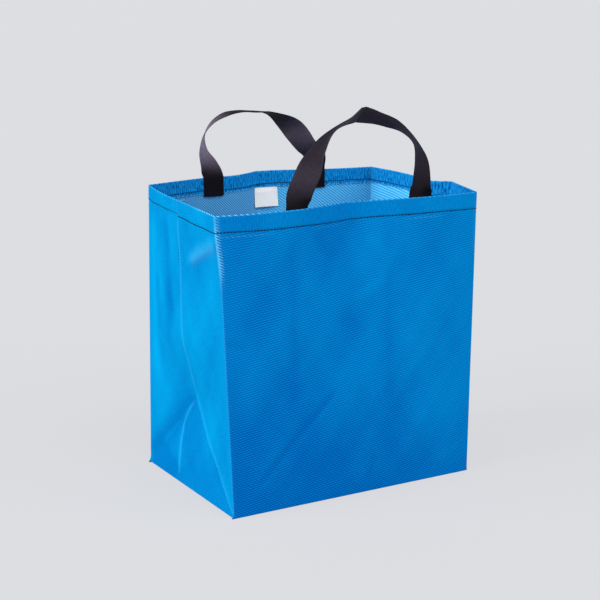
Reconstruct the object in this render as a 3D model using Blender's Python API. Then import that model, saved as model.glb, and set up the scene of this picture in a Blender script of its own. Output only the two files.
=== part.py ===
"""A soft open shopping bag of coated woven fabric, with two twisted webbing handles and a blank label.

The bag stands on its flat base. X runs along the wide front panel, the front faces -Y, and the origin is
the middle of the base. All sizes are in metres. The bag was sold folded flat and then in half, so its
sides keep a gusset fold, and its front and back keep one upright crease in their middle.
"""

import functools
import math

import bmesh
import bpy
import numpy as np

# Driving sizes
BAG_WIDTH = 0.303
BAG_DEPTH = 0.207
BAG_HEIGHT = 0.3235
FABRIC = 0.0007
HEM_DEPTH = 0.022
HEM_GAP = 0.0009
HEM_STITCH = 0.0175
HALVES_STEP = 0.0025
STITCH_PULL = 0.0003
WEB_WIDTH = 0.026
WEB_THICKNESS = 0.0016
WEB_SEWN = 0.0215
LABEL_WIDTH = 0.029
LABEL_SHOWS = 0.022
LABEL_PAST_CREASE = 0.0045
LABEL_TUCK = 0.0035
LABEL_THICKNESS = 0.0003
THREAD = 0.0005
CLEARANCE = 0.0003

# Soft shape of the walls
CORNER_RADIUS = 0.002
TIP_HEIGHT = 0.008
BOTTOM_EDGE = 0.0005
BELLY = 0.002
GUSSET_PUSH = 0.0105
GUSSET_FADE_TOP = 0.66
FOLD_SOFTNESS = 0.06
SEAM_AT = 0.5
BACK_CREASE_AT = 0.483
HEM_FLARE = 0.003

# Handles: where each end is sewn, as a fraction along its panel, and how high the handle stands
FRONT_HANDLE_ENDS = (0.291, 0.771)
FRONT_HANDLE_RISE = 0.088
BACK_HANDLE_ENDS = (0.703, 0.254)
BACK_HANDLE_RISE = 0.074

# Each handle's stations, from its left end to its right end as seen from the front: place across the span
# (-1 and 1 are the sewn ends), share of the rise, lean towards -Y or +Y in metres, and turn in degrees.
# At a turn of -90 the webbing lies along the wall, and at 0 its width runs from front to back.
FRONT_HANDLE_ROUTE = (
    (-1.00, 0.00, 0.000, -90),
    (-0.93, 0.21, 0.000, -90),
    (-0.81, 0.40, 0.001, -90),
    (-0.66, 0.56, 0.004, -79),
    (-0.49, 0.71, 0.009, -58),
    (-0.29, 0.83, 0.014, -40),
    (-0.10, 0.94, 0.018, -34),
    (0.14, 1.00, 0.020, -36),
    (0.38, 0.95, 0.017, -27),
    (0.60, 0.87, 0.013, -15),
    (0.81, 0.76, 0.009, 0),
    (0.98, 0.62, 0.005, 12),
    (1.04, 0.43, 0.003, 5),
    (1.03, 0.22, 0.001, -15),
    (1.00, 0.00, 0.000, -84),
)
BACK_HANDLE_ROUTE = (
    (-1.00, 0.00, 0.000, -84),
    (-1.03, 0.22, 0.004, -64),
    (-1.08, 0.43, 0.011, -46),
    (-1.06, 0.63, 0.013, -31),
    (-0.93, 0.82, 0.012, -15),
    (-0.70, 0.95, 0.009, -5),
    (-0.45, 1.00, 0.006, -2),
    (-0.21, 0.99, 0.003, -6),
    (0.04, 0.96, 0.002, -11),
    (0.30, 0.90, 0.001, -15),
    (0.50, 0.76, 0.000, -34),
    (0.68, 0.59, -0.001, -44),
    (0.82, 0.42, -0.001, -36),
    (0.95, 0.23, 0.000, -30),
    (1.00, 0.00, 0.000, -65),
)

# How far each rim corner has moved from its base corner (x, y), and how far the sewn point of each base
# corner stands out along X
CORNER_SIGNS = {
    "front_left": (-1, -1),
    "front_right": (1, -1),
    "back_right": (1, 1),
    "back_left": (-1, 1),
}
RIM_DRIFT = {
    "front_left": (-0.0130, 0.0040),
    "front_right": (-0.0060, -0.0125),
    "back_right": (-0.0130, -0.0180),
    "back_left": (0.0080, -0.0010),
}
CORNER_TIP = {
    "front_left": 0.0032,
    "front_right": 0.0005,
    "back_right": 0.0020,
    "back_left": 0.0032,
}

# The rim of each panel, from corner to corner and anticlockwise from above: (fraction along the panel,
# distance outside the straight line between its corners). Each run is smooth, and a crease parts two runs.
PANELS = {
    "front": ("front_left", "front_right"),
    "right": ("front_right", "back_right"),
    "back": ("back_right", "back_left"),
    "left": ("back_left", "front_left"),
}
RIM_BOWS = {
    "front": (
        ((0.00, 0.0), (0.12, 0.005), (0.33, 0.004), (0.50, -0.0095)),
        ((0.50, -0.0095), (0.62, -0.005), (0.75, 0.0), (0.90, 0.002), (1.00, 0.0)),
    ),
    "right": (
        ((0.00, 0.0), (0.17, 0.009), (0.34, 0.018)),
        ((0.34, 0.018), (0.41, 0.002), (0.50, 0.003), (0.61, 0.0055), (0.78, 0.0055), (1.00, 0.0)),
    ),
    "back": (
        ((0.00, 0.0), (0.115, 0.0045), (0.30, 0.0185), (0.415, 0.029), (0.483, 0.0315)),
        ((0.483, 0.0315), (0.575, 0.018), (0.65, 0.014), (0.73, 0.015), (0.84, 0.010), (1.00, 0.0)),
    ),
    "left": (
        ((0.00, 0.0), (0.19, 0.0037), (0.37, 0.0039), (0.51, 0.003), (0.80, 0.001), (1.00, 0.0)),
    ),
}
# How fast the rim's bows fade down the wall: the share left at height h is h to this power
BOW_FADE = {"front": 2.4, "right": 2.6, "back": 1.8, "left": 2.0}
GUSSETED = ("left", "right")

# Fineness of the meshes
PANEL_COLUMNS = {"front": 16, "right": 12, "back": 16, "left": 12}
WALL_STEPS = 12
FOLD_STEPS = 4
WEB_COLUMNS = 5
STEPS_PER_STATION = 4
SEWN_ROWS = 4
LABEL_ROWS = 8
THREAD_SIDES = 6

HEM_STACK = 2 * FABRIC + HEM_GAP
FOLD_RADIUS = HEM_STACK / 2
GUSSET_APEX = BAG_DEPTH / 2 / BAG_HEIGHT

MATERIALS = {
    "blue_fabric": ((0.002, 0.205, 0.610), 0.45),
    "black_webbing": ((0.010, 0.008, 0.012), 0.80),
    "white_label": ((0.720, 0.740, 0.760), 0.75),
    "navy_thread": ((0.004, 0.030, 0.110), 0.60),
}


def clear_scene():
    for item in list(bpy.data.objects):
        bpy.data.objects.remove(item, do_unlink=True)


def material(name):
    """A plain Principled material of the named colour and roughness."""
    colour, roughness = MATERIALS[name]
    made = bpy.data.materials.new(name)
    made.use_nodes = True
    shader = made.node_tree.nodes["Principled BSDF"]
    shader.inputs["Base Color"].default_value = (*colour, 1.0)
    shader.inputs["Roughness"].default_value = roughness
    shader.inputs["Metallic"].default_value = 0.0
    made.diffuse_color = (*colour, 1.0)
    return made


def smoothstep(start, end, value):
    t = np.clip((value - start) / (end - start), 0.0, 1.0)
    return t * t * (3 - 2 * t)


def smooth_min(a, b, softness):
    """The smaller of two values, with its corner rounded over about the given softness."""
    return 0.5 * (a + b - math.hypot(a - b, softness))


def hermite(points, at):
    """Smooth curve through (place, value) points, each slope taken from its two neighbours."""
    xs, ys = np.array(points).T
    slopes = np.gradient(ys, xs)
    i = int(np.clip(np.searchsorted(xs, at) - 1, 0, len(xs) - 2))
    span = xs[i + 1] - xs[i]
    t = (at - xs[i]) / span
    rise = (2 * t**3 - 3 * t**2 + 1) * ys[i] + (3 * t**2 - 2 * t**3) * ys[i + 1]
    return rise + span * ((t**3 - 2 * t**2 + t) * slopes[i] + (t**3 - t**2) * slopes[i + 1])


def rim_bow(panel, fraction):
    for run in RIM_BOWS[panel]:
        if fraction <= run[-1][0]:
            return hermite(run, fraction)
    return 0.0


def corner_point(corner, h):
    """Plan position of a corner of the bag at the share h of its height."""
    sx, sy = CORNER_SIGNS[corner]
    foot = np.array([sx * (BAG_WIDTH / 2 - CORNER_TIP[corner]), sy * BAG_DEPTH / 2])
    head = np.array([sx * BAG_WIDTH / 2, sy * BAG_DEPTH / 2]) + RIM_DRIFT[corner]
    point = foot + (head - foot) * h
    if corner == "front_left":
        point[0] += HEM_FLARE * (h - smoothstep(0.80, 0.96, h))
    return point


def gusset_depth(fraction, h):
    """Share of the gusset's full push at one place on a side: a tent over the folded triangle."""
    across = 1 - abs(2 * fraction - 1)
    below = smooth_min(h / GUSSET_APEX, across, FOLD_SOFTNESS)
    above = across * (1 - smoothstep(GUSSET_APEX, GUSSET_FADE_TOP, h))
    return max(0.0, smooth_min(below, above, FOLD_SOFTNESS))


def plan_point(panel, fraction, z):
    """Plan position (x, y) of the bag's outer face at a height, and the outward direction there."""
    h = z / BAG_HEIGHT
    start, end = (corner_point(corner, h) for corner in PANELS[panel])
    along = (end - start) / np.linalg.norm(end - start)
    outward = np.array([along[1], -along[0]])
    out = rim_bow(panel, fraction) * h ** BOW_FADE[panel]
    out += BELLY * math.sin(math.pi * h) * math.sin(math.pi * fraction)
    if panel in GUSSETED:
        out -= GUSSET_PUSH * gusset_depth(fraction, h)
    return start + (end - start) * fraction + outward * out


@functools.cache
def panel_length(panel):
    """Length of a panel's rim along its bows."""
    points = np.array([plan_point(panel, f, BAG_HEIGHT) for f in np.linspace(0, 1, 101)])
    return float(np.linalg.norm(np.diff(points, axis=0), axis=1).sum())


@functools.cache
def panel_columns(panel):
    """Fractions along a panel where the wall gets a column of points: even ones, folds and corner ends."""
    corner = CORNER_RADIUS / panel_length(panel)
    folds = [SEAM_AT] if panel in GUSSETED else []
    folds += [place for run in RIM_BOWS[panel] for place, _ in run[1:-1]]
    folds += [run[-1][0] for run in RIM_BOWS[panel][:-1]]
    fixed = sorted({0.0, corner, 1 - corner, *folds})
    spacing = 1 / PANEL_COLUMNS[panel]
    columns = list(fixed)
    for low, high in zip(fixed, fixed[1:] + [1.0]):
        between = int((high - low) / spacing)
        columns += [low + (high - low) * (i + 1) / (between + 1) for i in range(between)]
    return sorted(columns)


@functools.cache
def body_columns():
    """Every column of the wall, anticlockwise from the front left corner, as (panel, fraction)."""
    return [(panel, fraction) for panel in PANELS for fraction in panel_columns(panel)]


@functools.cache
def wall_ring(z, inset):
    """The bag's outline at one height, moved inwards by the inset with mitred corners."""
    columns = body_columns()
    points = np.array([plan_point(panel, fraction, z) for panel, fraction in columns])
    for i, (panel, fraction) in enumerate(columns):
        if fraction == 0.0:
            corner = PANELS[panel][0]
            inward = -np.array(CORNER_SIGNS[corner]) / math.sqrt(2)
            points[i] += inward * CORNER_RADIUS * (math.sqrt(2) - 1)
            sharp = (1 - min(z / TIP_HEIGHT, 1.0)) ** 2
            points[i] -= inward * CORNER_RADIUS * (math.sqrt(2) - 1) * sharp
            points[i][0] += CORNER_SIGNS[corner][0] * CORNER_TIP[corner] * sharp
    edges = np.roll(points, -1, axis=0) - points
    edges /= np.linalg.norm(edges, axis=1)[:, None]
    normals = np.stack([-edges[:, 1], edges[:, 0]], axis=1)
    before = np.roll(normals, 1, axis=0)
    mitre = (before + normals) / (1 + (before * normals).sum(axis=1))[:, None]
    return points + mitre * inset


def wall_point(panel, fraction, z, inset):
    """A point inside the wall's outer face by the inset, on the same flat facets as the wall's own mesh.

    Above the rim the wall is taken to go on straight up.
    """
    columns = body_columns()
    ring = wall_ring(min(z, BAG_HEIGHT), inset)
    first = columns.index((panel, 0.0))
    places = [f for name, f in columns if name == panel] + [1.0]
    corners = [ring[(first + i) % len(columns)] for i in range(len(places))]
    x, y = (np.interp(fraction, places, values) for values in np.array(corners).T)
    return np.array([x, y, z])


def body_profile():
    """The wall's section as (height, inset): up the outside, over the hem's fold, down its turned-in edge,
    up between the hem's two layers and down the inside to the base."""
    fold_base = BAG_HEIGHT - FOLD_RADIUS
    hem_edge = BAG_HEIGHT - HEM_DEPTH
    stitch = BAG_HEIGHT - HEM_STITCH
    foot = [TIP_HEIGHT / 2, TIP_HEIGHT]
    steps = np.linspace(TIP_HEIGHT, hem_edge, WALL_STEPS + 1)[1:]
    wall = foot + [float(z) for z in steps] + [stitch, (stitch + fold_base) / 2]
    outside = [(0.0, BOTTOM_EDGE), (BOTTOM_EDGE, 0.0)] + [(z, 0.0) for z in wall]
    turns = [math.pi * i / FOLD_STEPS for i in range(FOLD_STEPS + 1)]
    over = [
        (fold_base + FOLD_RADIUS * math.sin(a), FOLD_RADIUS * (1 - math.cos(a)))
        for a in turns
    ]
    pulled = [fold_base - 0.004, stitch + 0.002, stitch, stitch - 0.002, hem_edge]
    hem_inner = [(z, HEM_STACK - STITCH_PULL * (z == stitch)) for z in pulled]
    hem_outer = [(z, FABRIC + HEM_GAP - STITCH_PULL * (z == stitch)) for z in reversed(pulled)]
    under = [
        (fold_base + HEM_GAP / 2 * math.sin(a), FOLD_RADIUS + HEM_GAP / 2 * math.cos(a))
        for a in turns
    ]
    inside = [(z, FABRIC) for z in reversed(wall)] + [(FABRIC, FABRIC + BOTTOM_EDGE)]
    return outside + over + hem_inner + hem_outer + under + inside


def new_object(name, mesh_data, slot, creased_at=35):
    """Put finished bmesh geometry into the scene as one named object with one material."""
    bmesh.ops.recalc_face_normals(mesh_data, faces=mesh_data.faces)
    mesh = bpy.data.meshes.new(name)
    mesh_data.to_mesh(mesh)
    mesh_data.free()
    mesh.shade_smooth()
    mesh.set_sharp_from_angle(angle=math.radians(creased_at))
    mesh.materials.append(material(slot))
    made = bpy.data.objects.new(name, mesh)
    bpy.context.collection.objects.link(made)
    return made


def loft(rings):
    """A closed solid through equal rings of points, with a flat cap on the first and last ring."""
    built = bmesh.new()
    rows = [[built.verts.new(point) for point in ring] for ring in rings]
    for low, high in zip(rows, rows[1:]):
        for i in range(len(low)):
            j = (i + 1) % len(low)
            built.faces.new((low[i], low[j], high[j], high[i]))
    built.faces.new(list(reversed(rows[0])))
    built.faces.new(rows[-1])
    return built


def make_body():
    rings = [[(x, y, z) for x, y in wall_ring(z, inset)] for z, inset in body_profile()]
    return new_object("bag_body", loft(rings), "blue_fabric")


def smooth_route(stations):
    """Catmull-Rom curve through the stations, as rows of the same numbers."""
    rows = np.array(stations, dtype=float)
    rows = np.vstack([2 * rows[0] - rows[1], rows, 2 * rows[-1] - rows[-2]])
    out = []
    for i in range(1, len(rows) - 2):
        a, b, c, d = rows[i - 1 : i + 3]
        for t in np.arange(STEPS_PER_STATION) / STEPS_PER_STATION:
            out.append(0.5 * (2 * b + (c - a) * t + (2 * a - 5 * b + 4 * c - d) * t**2
                              + (3 * b - a - 3 * c + d) * t**3))
    out.append(rows[-2])
    return np.array(out)


def webbing_seat(panel, end, z, across, side):
    """A point on one face of the webbing where it is sewn to the hem. side is 0 at the hem, 1 inside."""
    direction = 1 if panel == "front" else -1
    shift = across * WEB_WIDTH * direction / panel_length(panel)
    inset = HEM_STACK + CLEARANCE + side * WEB_THICKNESS
    return wall_point(panel, end + shift, z, inset)


def make_handle(name, panel, ends, rise, route):
    """Webbing sewn inside the hem at both ends, which turns and leans as it arches between them."""
    facing = 1 if panel == "front" else -1
    middle = HEM_STACK + CLEARANCE + WEB_THICKNESS / 2
    left, right = (wall_point(panel, end, BAG_HEIGHT, middle) for end in ends)
    rows = smooth_route(route)
    share = (rows[:, 0] + 1) / 2
    centre = left + (right - left) * share[:, None]
    centre[:, 2] = BAG_HEIGHT + rise * rows[:, 1]
    centre[:, 1] += rows[:, 2]
    path = np.gradient(centre, axis=0)
    path[0] = (0, 0, 1)
    path[-1] = (0, 0, -1)
    path /= np.linalg.norm(path, axis=1)[:, None]
    level = np.array([0.0, 1.0, 0.0]) - path[:, 1:2] * path
    level /= np.linalg.norm(level, axis=1)[:, None]
    turn = np.radians(rows[:, 3])[:, None]
    width = np.cos(turn) * level + np.sin(turn) * np.cross(path, level)
    face = np.cross(path, width)
    across = np.linspace(-0.5, 0.5, WEB_COLUMNS)
    # The ring runs along the face next to the hem and back along the other face.
    ring_spots = [(a, 0) for a in across] + [(a, 1) for a in reversed(across)]

    def sewn_ring(end, z, flip):
        return [webbing_seat(panel, end, z, a * flip, side) for a, side in ring_spots]

    def free_ring(i):
        thick = WEB_THICKNESS * facing
        return [centre[i] + width[i] * a * WEB_WIDTH + face[i] * (side - 0.5) * thick
                for a, side in ring_spots]

    depths = np.linspace(WEB_SEWN, 0.0, SEWN_ROWS + 1)
    rings = [sewn_ring(ends[0], BAG_HEIGHT - d, 1) for d in depths]
    settle = 3 * STEPS_PER_STATION // 2
    last = len(centre) - 1
    for i in range(1, last):
        ring = np.array(free_ring(i))
        near = min(i, last - i)
        if near < settle:
            end, flip = (ends[0], 1) if i < settle else (ends[1], -1)
            seat = np.array(sewn_ring(end, centre[i][2], flip))
            seat_middle = wall_point(panel, end, centre[i][2], middle)
            seat += centre[i] - seat_middle
            ring += (seat - ring) * (1 - smoothstep(0, settle, near))
        rings.append(ring)
    rings += [sewn_ring(ends[1], BAG_HEIGHT - d, -1) for d in reversed(depths)]
    return new_object(name, loft(rings), "black_webbing")


def make_label():
    """A thin blank label that hangs from between the hem's layers, across the crease of the back panel."""
    length = panel_length("back")
    left = BACK_CREASE_AT + LABEL_PAST_CREASE / length
    right = left - LABEL_WIDTH / length
    top = BAG_HEIGHT - HEM_DEPTH + LABEL_TUCK
    bottom = BAG_HEIGHT - HEM_DEPTH - LABEL_SHOWS
    columns = [right] + [f for f in panel_columns("back") if right < f < left] + [left]
    rings = []
    for z in np.linspace(bottom, top, LABEL_ROWS):
        near = [wall_point("back", f, z, FABRIC + CLEARANCE) for f in columns]
        far = [wall_point("back", f, z, FABRIC + CLEARANCE + LABEL_THICKNESS) for f in reversed(columns)]
        rings.append(near + far)
    return new_object("label", loft(rings), "white_label")


def thread_path(start, end, depth):
    """Points of a thread outside the wall, from one column of the wall's mesh round to another."""
    ring = wall_ring(BAG_HEIGHT - depth, -(CLEARANCE + THREAD / 2))
    count = (end - start) % len(ring)
    return [(*ring[(start + i) % len(ring)], BAG_HEIGHT - depth) for i in range(count + 1)]


def make_thread(name, path):
    """A round thread along the points: a tube with flat ends."""
    points = np.array(path)
    along = np.gradient(points, axis=0)
    along /= np.linalg.norm(along, axis=1)[:, None]
    side = np.cross(along, (0.0, 0.0, 1.0))
    side /= np.linalg.norm(side, axis=1)[:, None]
    turns = [2 * math.pi * i / THREAD_SIDES for i in range(THREAD_SIDES)]
    rings = []
    for point, out in zip(points, side):
        up = np.array([0.0, 0.0, 1.0])
        rings.append([point + THREAD / 2 * (out * math.cos(a) + up * math.sin(a)) for a in turns])
    return new_object(name, loft(rings), "navy_thread", creased_at=80)


def make_hem_threads():
    """The hem's thread on the outside, on the front half and on the back half of the bag.

    Each half was hemmed before the side seams were sewn, so the two halves' lines do not quite meet.
    """
    columns = body_columns()
    left_seam = columns.index(("left", SEAM_AT))
    right_seam = columns.index(("right", SEAM_AT))
    front = thread_path(left_seam + 1, right_seam - 1, HEM_STITCH)
    back = thread_path(right_seam + 1, left_seam - 1, HEM_STITCH - HALVES_STEP)
    make_thread("hem_thread_front", front)
    make_thread("hem_thread_back", back)


def main():
    clear_scene()
    make_body()
    make_handle("front_handle", "front", FRONT_HANDLE_ENDS, FRONT_HANDLE_RISE, FRONT_HANDLE_ROUTE)
    make_handle("back_handle", "back", BACK_HANDLE_ENDS, BACK_HANDLE_RISE, BACK_HANDLE_ROUTE)
    make_label()
    make_hem_threads()


main()
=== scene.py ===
# %% [markdown]
# # A woven shopping bag
# The real bag is one sheet of coated woven cloth. It is folded under the base, seamed up the middle of both
# sides, and hemmed at the top, and it carries two webbing handles and a small label. This script dresses the
# plain solids of the part: it makes the cloth, webbing, label and stitches as fine surfaces with numpy, gives
# them procedural materials, and lights them like a plain studio photograph. All lengths are in metres.

import math

import bpy
import numpy as np
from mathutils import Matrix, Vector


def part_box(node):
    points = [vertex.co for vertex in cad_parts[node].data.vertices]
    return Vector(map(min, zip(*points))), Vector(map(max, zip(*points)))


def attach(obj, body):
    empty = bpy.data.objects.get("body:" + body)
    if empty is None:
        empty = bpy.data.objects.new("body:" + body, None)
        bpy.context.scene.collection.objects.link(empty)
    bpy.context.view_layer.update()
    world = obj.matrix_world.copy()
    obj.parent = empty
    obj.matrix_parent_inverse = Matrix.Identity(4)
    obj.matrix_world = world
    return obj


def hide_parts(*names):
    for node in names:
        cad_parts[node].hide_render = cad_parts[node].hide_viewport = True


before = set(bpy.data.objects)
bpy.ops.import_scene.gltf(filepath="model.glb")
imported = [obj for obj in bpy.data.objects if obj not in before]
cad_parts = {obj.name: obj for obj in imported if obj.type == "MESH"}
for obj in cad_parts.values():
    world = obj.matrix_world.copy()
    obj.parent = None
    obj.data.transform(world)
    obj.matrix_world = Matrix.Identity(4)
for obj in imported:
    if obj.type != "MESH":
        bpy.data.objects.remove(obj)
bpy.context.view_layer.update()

# %% [markdown]
# ## Sizes
# The solids fix the height of the bag, so it is read from the body's solid, and its width and depth are those
# that the solids were drawn with. The hem, webbing and label follow closer measures of the photograph. The
# cloth and the webbing are thinner here than their solids, which need some body to collide with.

# %% Driving sizes
BAG_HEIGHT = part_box("bag_body")[1].z
BAG_WIDTH = 0.303
BAG_DEPTH = 0.207
CLOTH = 0.0005
HEM_DEPTH = 0.0190
HEM_GAP = 0.0004
HEM_STITCH = 0.0178
HALVES_STEP = 0.0030
WEB_WIDTH = 0.026
WEB_THICKNESS = 0.0014
WEB_SEWN = 0.0215
LABEL_WIDTH = 0.031
LABEL_SHOWS = 0.0225
LABEL_PAST_CREASE = 0.0045
CLEARANCE = 0.0001
HEM_STACK = 2 * CLOTH + HEM_GAP

# %% [markdown]
# ## Curves
# Three small helpers carry the whole shape: a soft step, a smooth curve through a few chosen points, and the
# distance to a line of points, which a pressed crease needs.


# %% Curve helpers
def smoothstep(start, end, value):
    """0 before the start, 1 after the end, and t squared times (3 - 2t) between them."""
    t = np.clip((np.asarray(value, float) - start) / (end - start), 0.0, 1.0)
    return t * t * (3 - 2 * t)


def smooth_min(a, b, softness):
    """The smaller of two values, with its corner rounded: half of a + b - sqrt((a - b)^2 + softness^2)."""
    return 0.5 * (a + b - np.sqrt((a - b) ** 2 + softness**2))


def curve_through(points, at):
    """Cubic Hermite curve through (place, value) points, each slope taken from its two neighbours."""
    xs, ys = np.array(points, float).T
    slopes = np.gradient(ys, xs)
    at = np.clip(at, xs[0], xs[-1])
    i = np.clip(np.searchsorted(xs, at) - 1, 0, len(xs) - 2)
    span = xs[i + 1] - xs[i]
    t = (at - xs[i]) / span
    rise = (2 * t**3 - 3 * t**2 + 1) * ys[i] + (3 * t**2 - 2 * t**3) * ys[i + 1]
    return rise + span * ((t**3 - 2 * t**2 + t) * slopes[i] + (t**3 - t**2) * slopes[i + 1])


def near_line(across, z, points):
    """Signed distance to a line of points on a panel, and how far along the line (0 to 1) the nearest is."""
    points = np.array(points, float)
    steps = np.linalg.norm(np.diff(points, axis=0), axis=1)
    starts = np.concatenate([[0.0], np.cumsum(steps)])
    best = np.full(np.broadcast(across, z).shape, np.inf)
    signed = best.copy()
    place = np.zeros_like(best)
    for i, ((ax, az), (bx, bz)) in enumerate(zip(points, points[1:])):
        t = np.clip(((across - ax) * (bx - ax) + (z - az) * (bz - az)) / steps[i] ** 2, 0.0, 1.0)
        dx = across - ax - t * (bx - ax)
        dz = z - az - t * (bz - az)
        far = np.hypot(dx, dz)
        side = np.sign((bx - ax) * dz - (bz - az) * dx)
        closer = far < best
        signed = np.where(closer, far * side, signed)
        place = np.where(closer, (starts[i] + t * steps[i]) / starts[-1], place)
        best = np.minimum(best, far)
    return signed, place


# %% [markdown]
# ## The plan of the bag
# Each wall is drawn between two corners, which lean from the base to the rim. The rim bows in and out, and
# the bow fades down the wall. The two sides also keep the fold of the gusset, which was pressed flat in the
# shop: a triangle over the base and two flanks that lean in towards the seam.

# %% Corners, rim and gussets
CORNER_SIGNS = {"front_left": (-1, -1), "front_right": (1, -1), "back_right": (1, 1), "back_left": (-1, 1)}
# How far each corner has moved at the rim, and how far it is pulled in at the foot
RIM_DRIFT = {
    "front_left": (-0.0130, 0.0040),
    "front_right": (-0.0060, -0.0125),
    "back_right": (-0.0130, -0.0180),
    "back_left": (0.0080, -0.0010),
}
CORNER_TIP = {"front_left": 0.0032, "front_right": 0.0005, "back_right": 0.0020, "back_left": 0.0032}
PANELS = {
    "front": ("front_left", "front_right"),
    "right": ("front_right", "back_right"),
    "back": ("back_right", "back_left"),
    "left": ("back_left", "front_left"),
}
# The rim of each panel as (fraction along it, distance outside its straight line); a crease parts two runs
RIM_BOWS = {
    "front": (
        ((0.00, 0.0), (0.12, 0.005), (0.33, 0.004), (0.50, -0.0095)),
        ((0.50, -0.0095), (0.62, -0.005), (0.75, 0.0), (0.90, 0.002), (1.00, 0.0)),
    ),
    "right": (
        ((0.00, 0.0), (0.17, 0.009), (0.34, 0.018)),
        ((0.34, 0.018), (0.41, 0.002), (0.50, 0.003), (0.61, 0.0055), (0.78, 0.0055), (1.00, 0.0)),
    ),
    "back": (
        ((0.00, 0.0), (0.115, 0.0045), (0.30, 0.0185), (0.415, 0.029), (0.483, 0.0315)),
        ((0.483, 0.0315), (0.575, 0.018), (0.65, 0.014), (0.73, 0.015), (0.84, 0.010), (1.00, 0.0)),
    ),
    "left": (
        ((0.00, 0.0), (0.19, 0.0037), (0.37, 0.0039), (0.51, 0.003), (0.80, 0.001), (1.00, 0.0)),
    ),
}
BOW_FADE = {"front": 2.4, "right": 2.6, "back": 1.8, "left": 2.0}
BOW_SOFTENS = {"front": 0.16, "right": 0.10, "back": 0.09, "left": 0.10}
BOW_TAPS = np.linspace(-1, 1, 7)
BACK_CREASE_AT = 0.483
PANEL_WIDTH = {"front": BAG_WIDTH, "right": BAG_DEPTH, "back": BAG_WIDTH, "left": BAG_DEPTH}
CORNER_RADIUS = 0.0016
TIP_HEIGHT = 0.008
BOTTOM_EDGE = 0.0006
BELLY = 0.002
GUSSET_PUSH = 0.0128
GUSSET_FADE_START = 0.30
GUSSET_FADE_TOP = 0.57
GUSSET_APEX = BAG_DEPTH / 2 / BAG_HEIGHT
FOLD_SOFTNESS = 0.020
HEM_FLARE = 0.003
HEM_FLARE_FROM = 0.80
HEM_FLARE_FULL = 0.96


def rim_bow(panel, fraction):
    """How far the rim lies outside its panel's straight line, from the run that holds the fraction."""
    bow = np.zeros(np.shape(fraction))
    for run in RIM_BOWS[panel]:
        inside = (fraction >= run[0][0]) & (fraction <= run[-1][0])
        bow = np.where(inside, curve_through(run, fraction), bow)
    return bow


def soft_bow(panel, fraction, h):
    """The rim's bow averaged over neighbours that spread as the height falls, so creases fade down."""
    spread = 0.002 + BOW_SOFTENS[panel] * (1 - h)
    weights = np.cos(BOW_TAPS * math.pi / 2.4) ** 2
    taps = [weight * rim_bow(panel, fraction + tap * spread) for tap, weight in zip(BOW_TAPS, weights)]
    return sum(taps) / weights.sum()


def corner_plan(corner, h):
    """Plan position of a corner at the share h of the height: a straight line from its foot to its head."""
    sx, sy = CORNER_SIGNS[corner]
    drift_x, drift_y = RIM_DRIFT[corner]
    foot_x = sx * (BAG_WIDTH / 2 - CORNER_TIP[corner])
    x = foot_x + (sx * BAG_WIDTH / 2 + drift_x - foot_x) * h
    y = sy * BAG_DEPTH / 2 + drift_y * h
    if corner == "front_left":
        x = x + HEM_FLARE * (h - smoothstep(HEM_FLARE_FROM, HEM_FLARE_FULL, h))
    return np.stack([x, y], axis=-1)


def gusset_depth(fraction, h):
    """A tent over the folded triangle: the least of the height's share, nearness to a corner and a fade."""
    across = 1 - np.abs(2 * fraction - 1)
    below = smooth_min(h / GUSSET_APEX, across, FOLD_SOFTNESS)
    above = across * (1 - smoothstep(GUSSET_FADE_START, GUSSET_FADE_TOP, h))
    return np.maximum(0.0, smooth_min(below, above, FOLD_SOFTNESS))


# %% [markdown]
# ## Creases and dents
# A used folding bag is never flat. Every crease is a line of two to four points on its panel, measured from
# the panel's middle and up from the base, with a height (inwards if negative) and a width on either side.
# A wide side and a narrow side give the lit slope and the sharp dark edge that a real fold shows.

# %% Crease lines
SIDE_FOLDS = (
    # The pressed gusset: seam ridge, both diagonals, and the seam's run down the triangle
    (((0.000, 0.300), (0.000, 0.180), (0.001, 0.110)), 0.0007, 0.0016, 0.0022),
    (((0.001, 0.112), (0.040, 0.066), (0.100, 0.006)), 0.0009, 0.0030, 0.0020),
    (((0.001, 0.108), (-0.040, 0.066), (-0.098, 0.008)), -0.0008, 0.0060, 0.0030),
    (((-0.008, 0.096), (-0.024, 0.073), (-0.028, 0.048), (-0.029, 0.010)), 0.0010, 0.0030, 0.0045),
)
LEFT_DENTS = (
    # The fold from the back corner that runs down and in, and the hollow beside it
    (((-0.084, 0.300), (-0.058, 0.222), (-0.050, 0.150)), 0.0010, 0.0110, 0.0120),
    (((-0.036, 0.300), (-0.034, 0.190)), -0.0009, 0.0090, 0.0090),
    # The crumple below the front corner of the hem
    (((0.016, 0.256), (0.052, 0.277), (0.098, 0.299)), 0.0006, 0.0090, 0.0034),
    (((-0.076, 0.160), (-0.036, 0.143)), 0.0004, 0.0050, 0.0030),
    (((0.018, 0.205), (0.030, 0.165)), 0.0003, 0.0040, 0.0040),
    (((-0.085, 0.030), (-0.030, 0.012)), -0.0006, 0.0080, 0.0080),
)
RIGHT_DENTS = (
    (((-0.070, 0.290), (-0.050, 0.200)), -0.0008, 0.0100, 0.0100),
    (((0.030, 0.270), (0.072, 0.290)), 0.0008, 0.0080, 0.0040),
)
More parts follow.
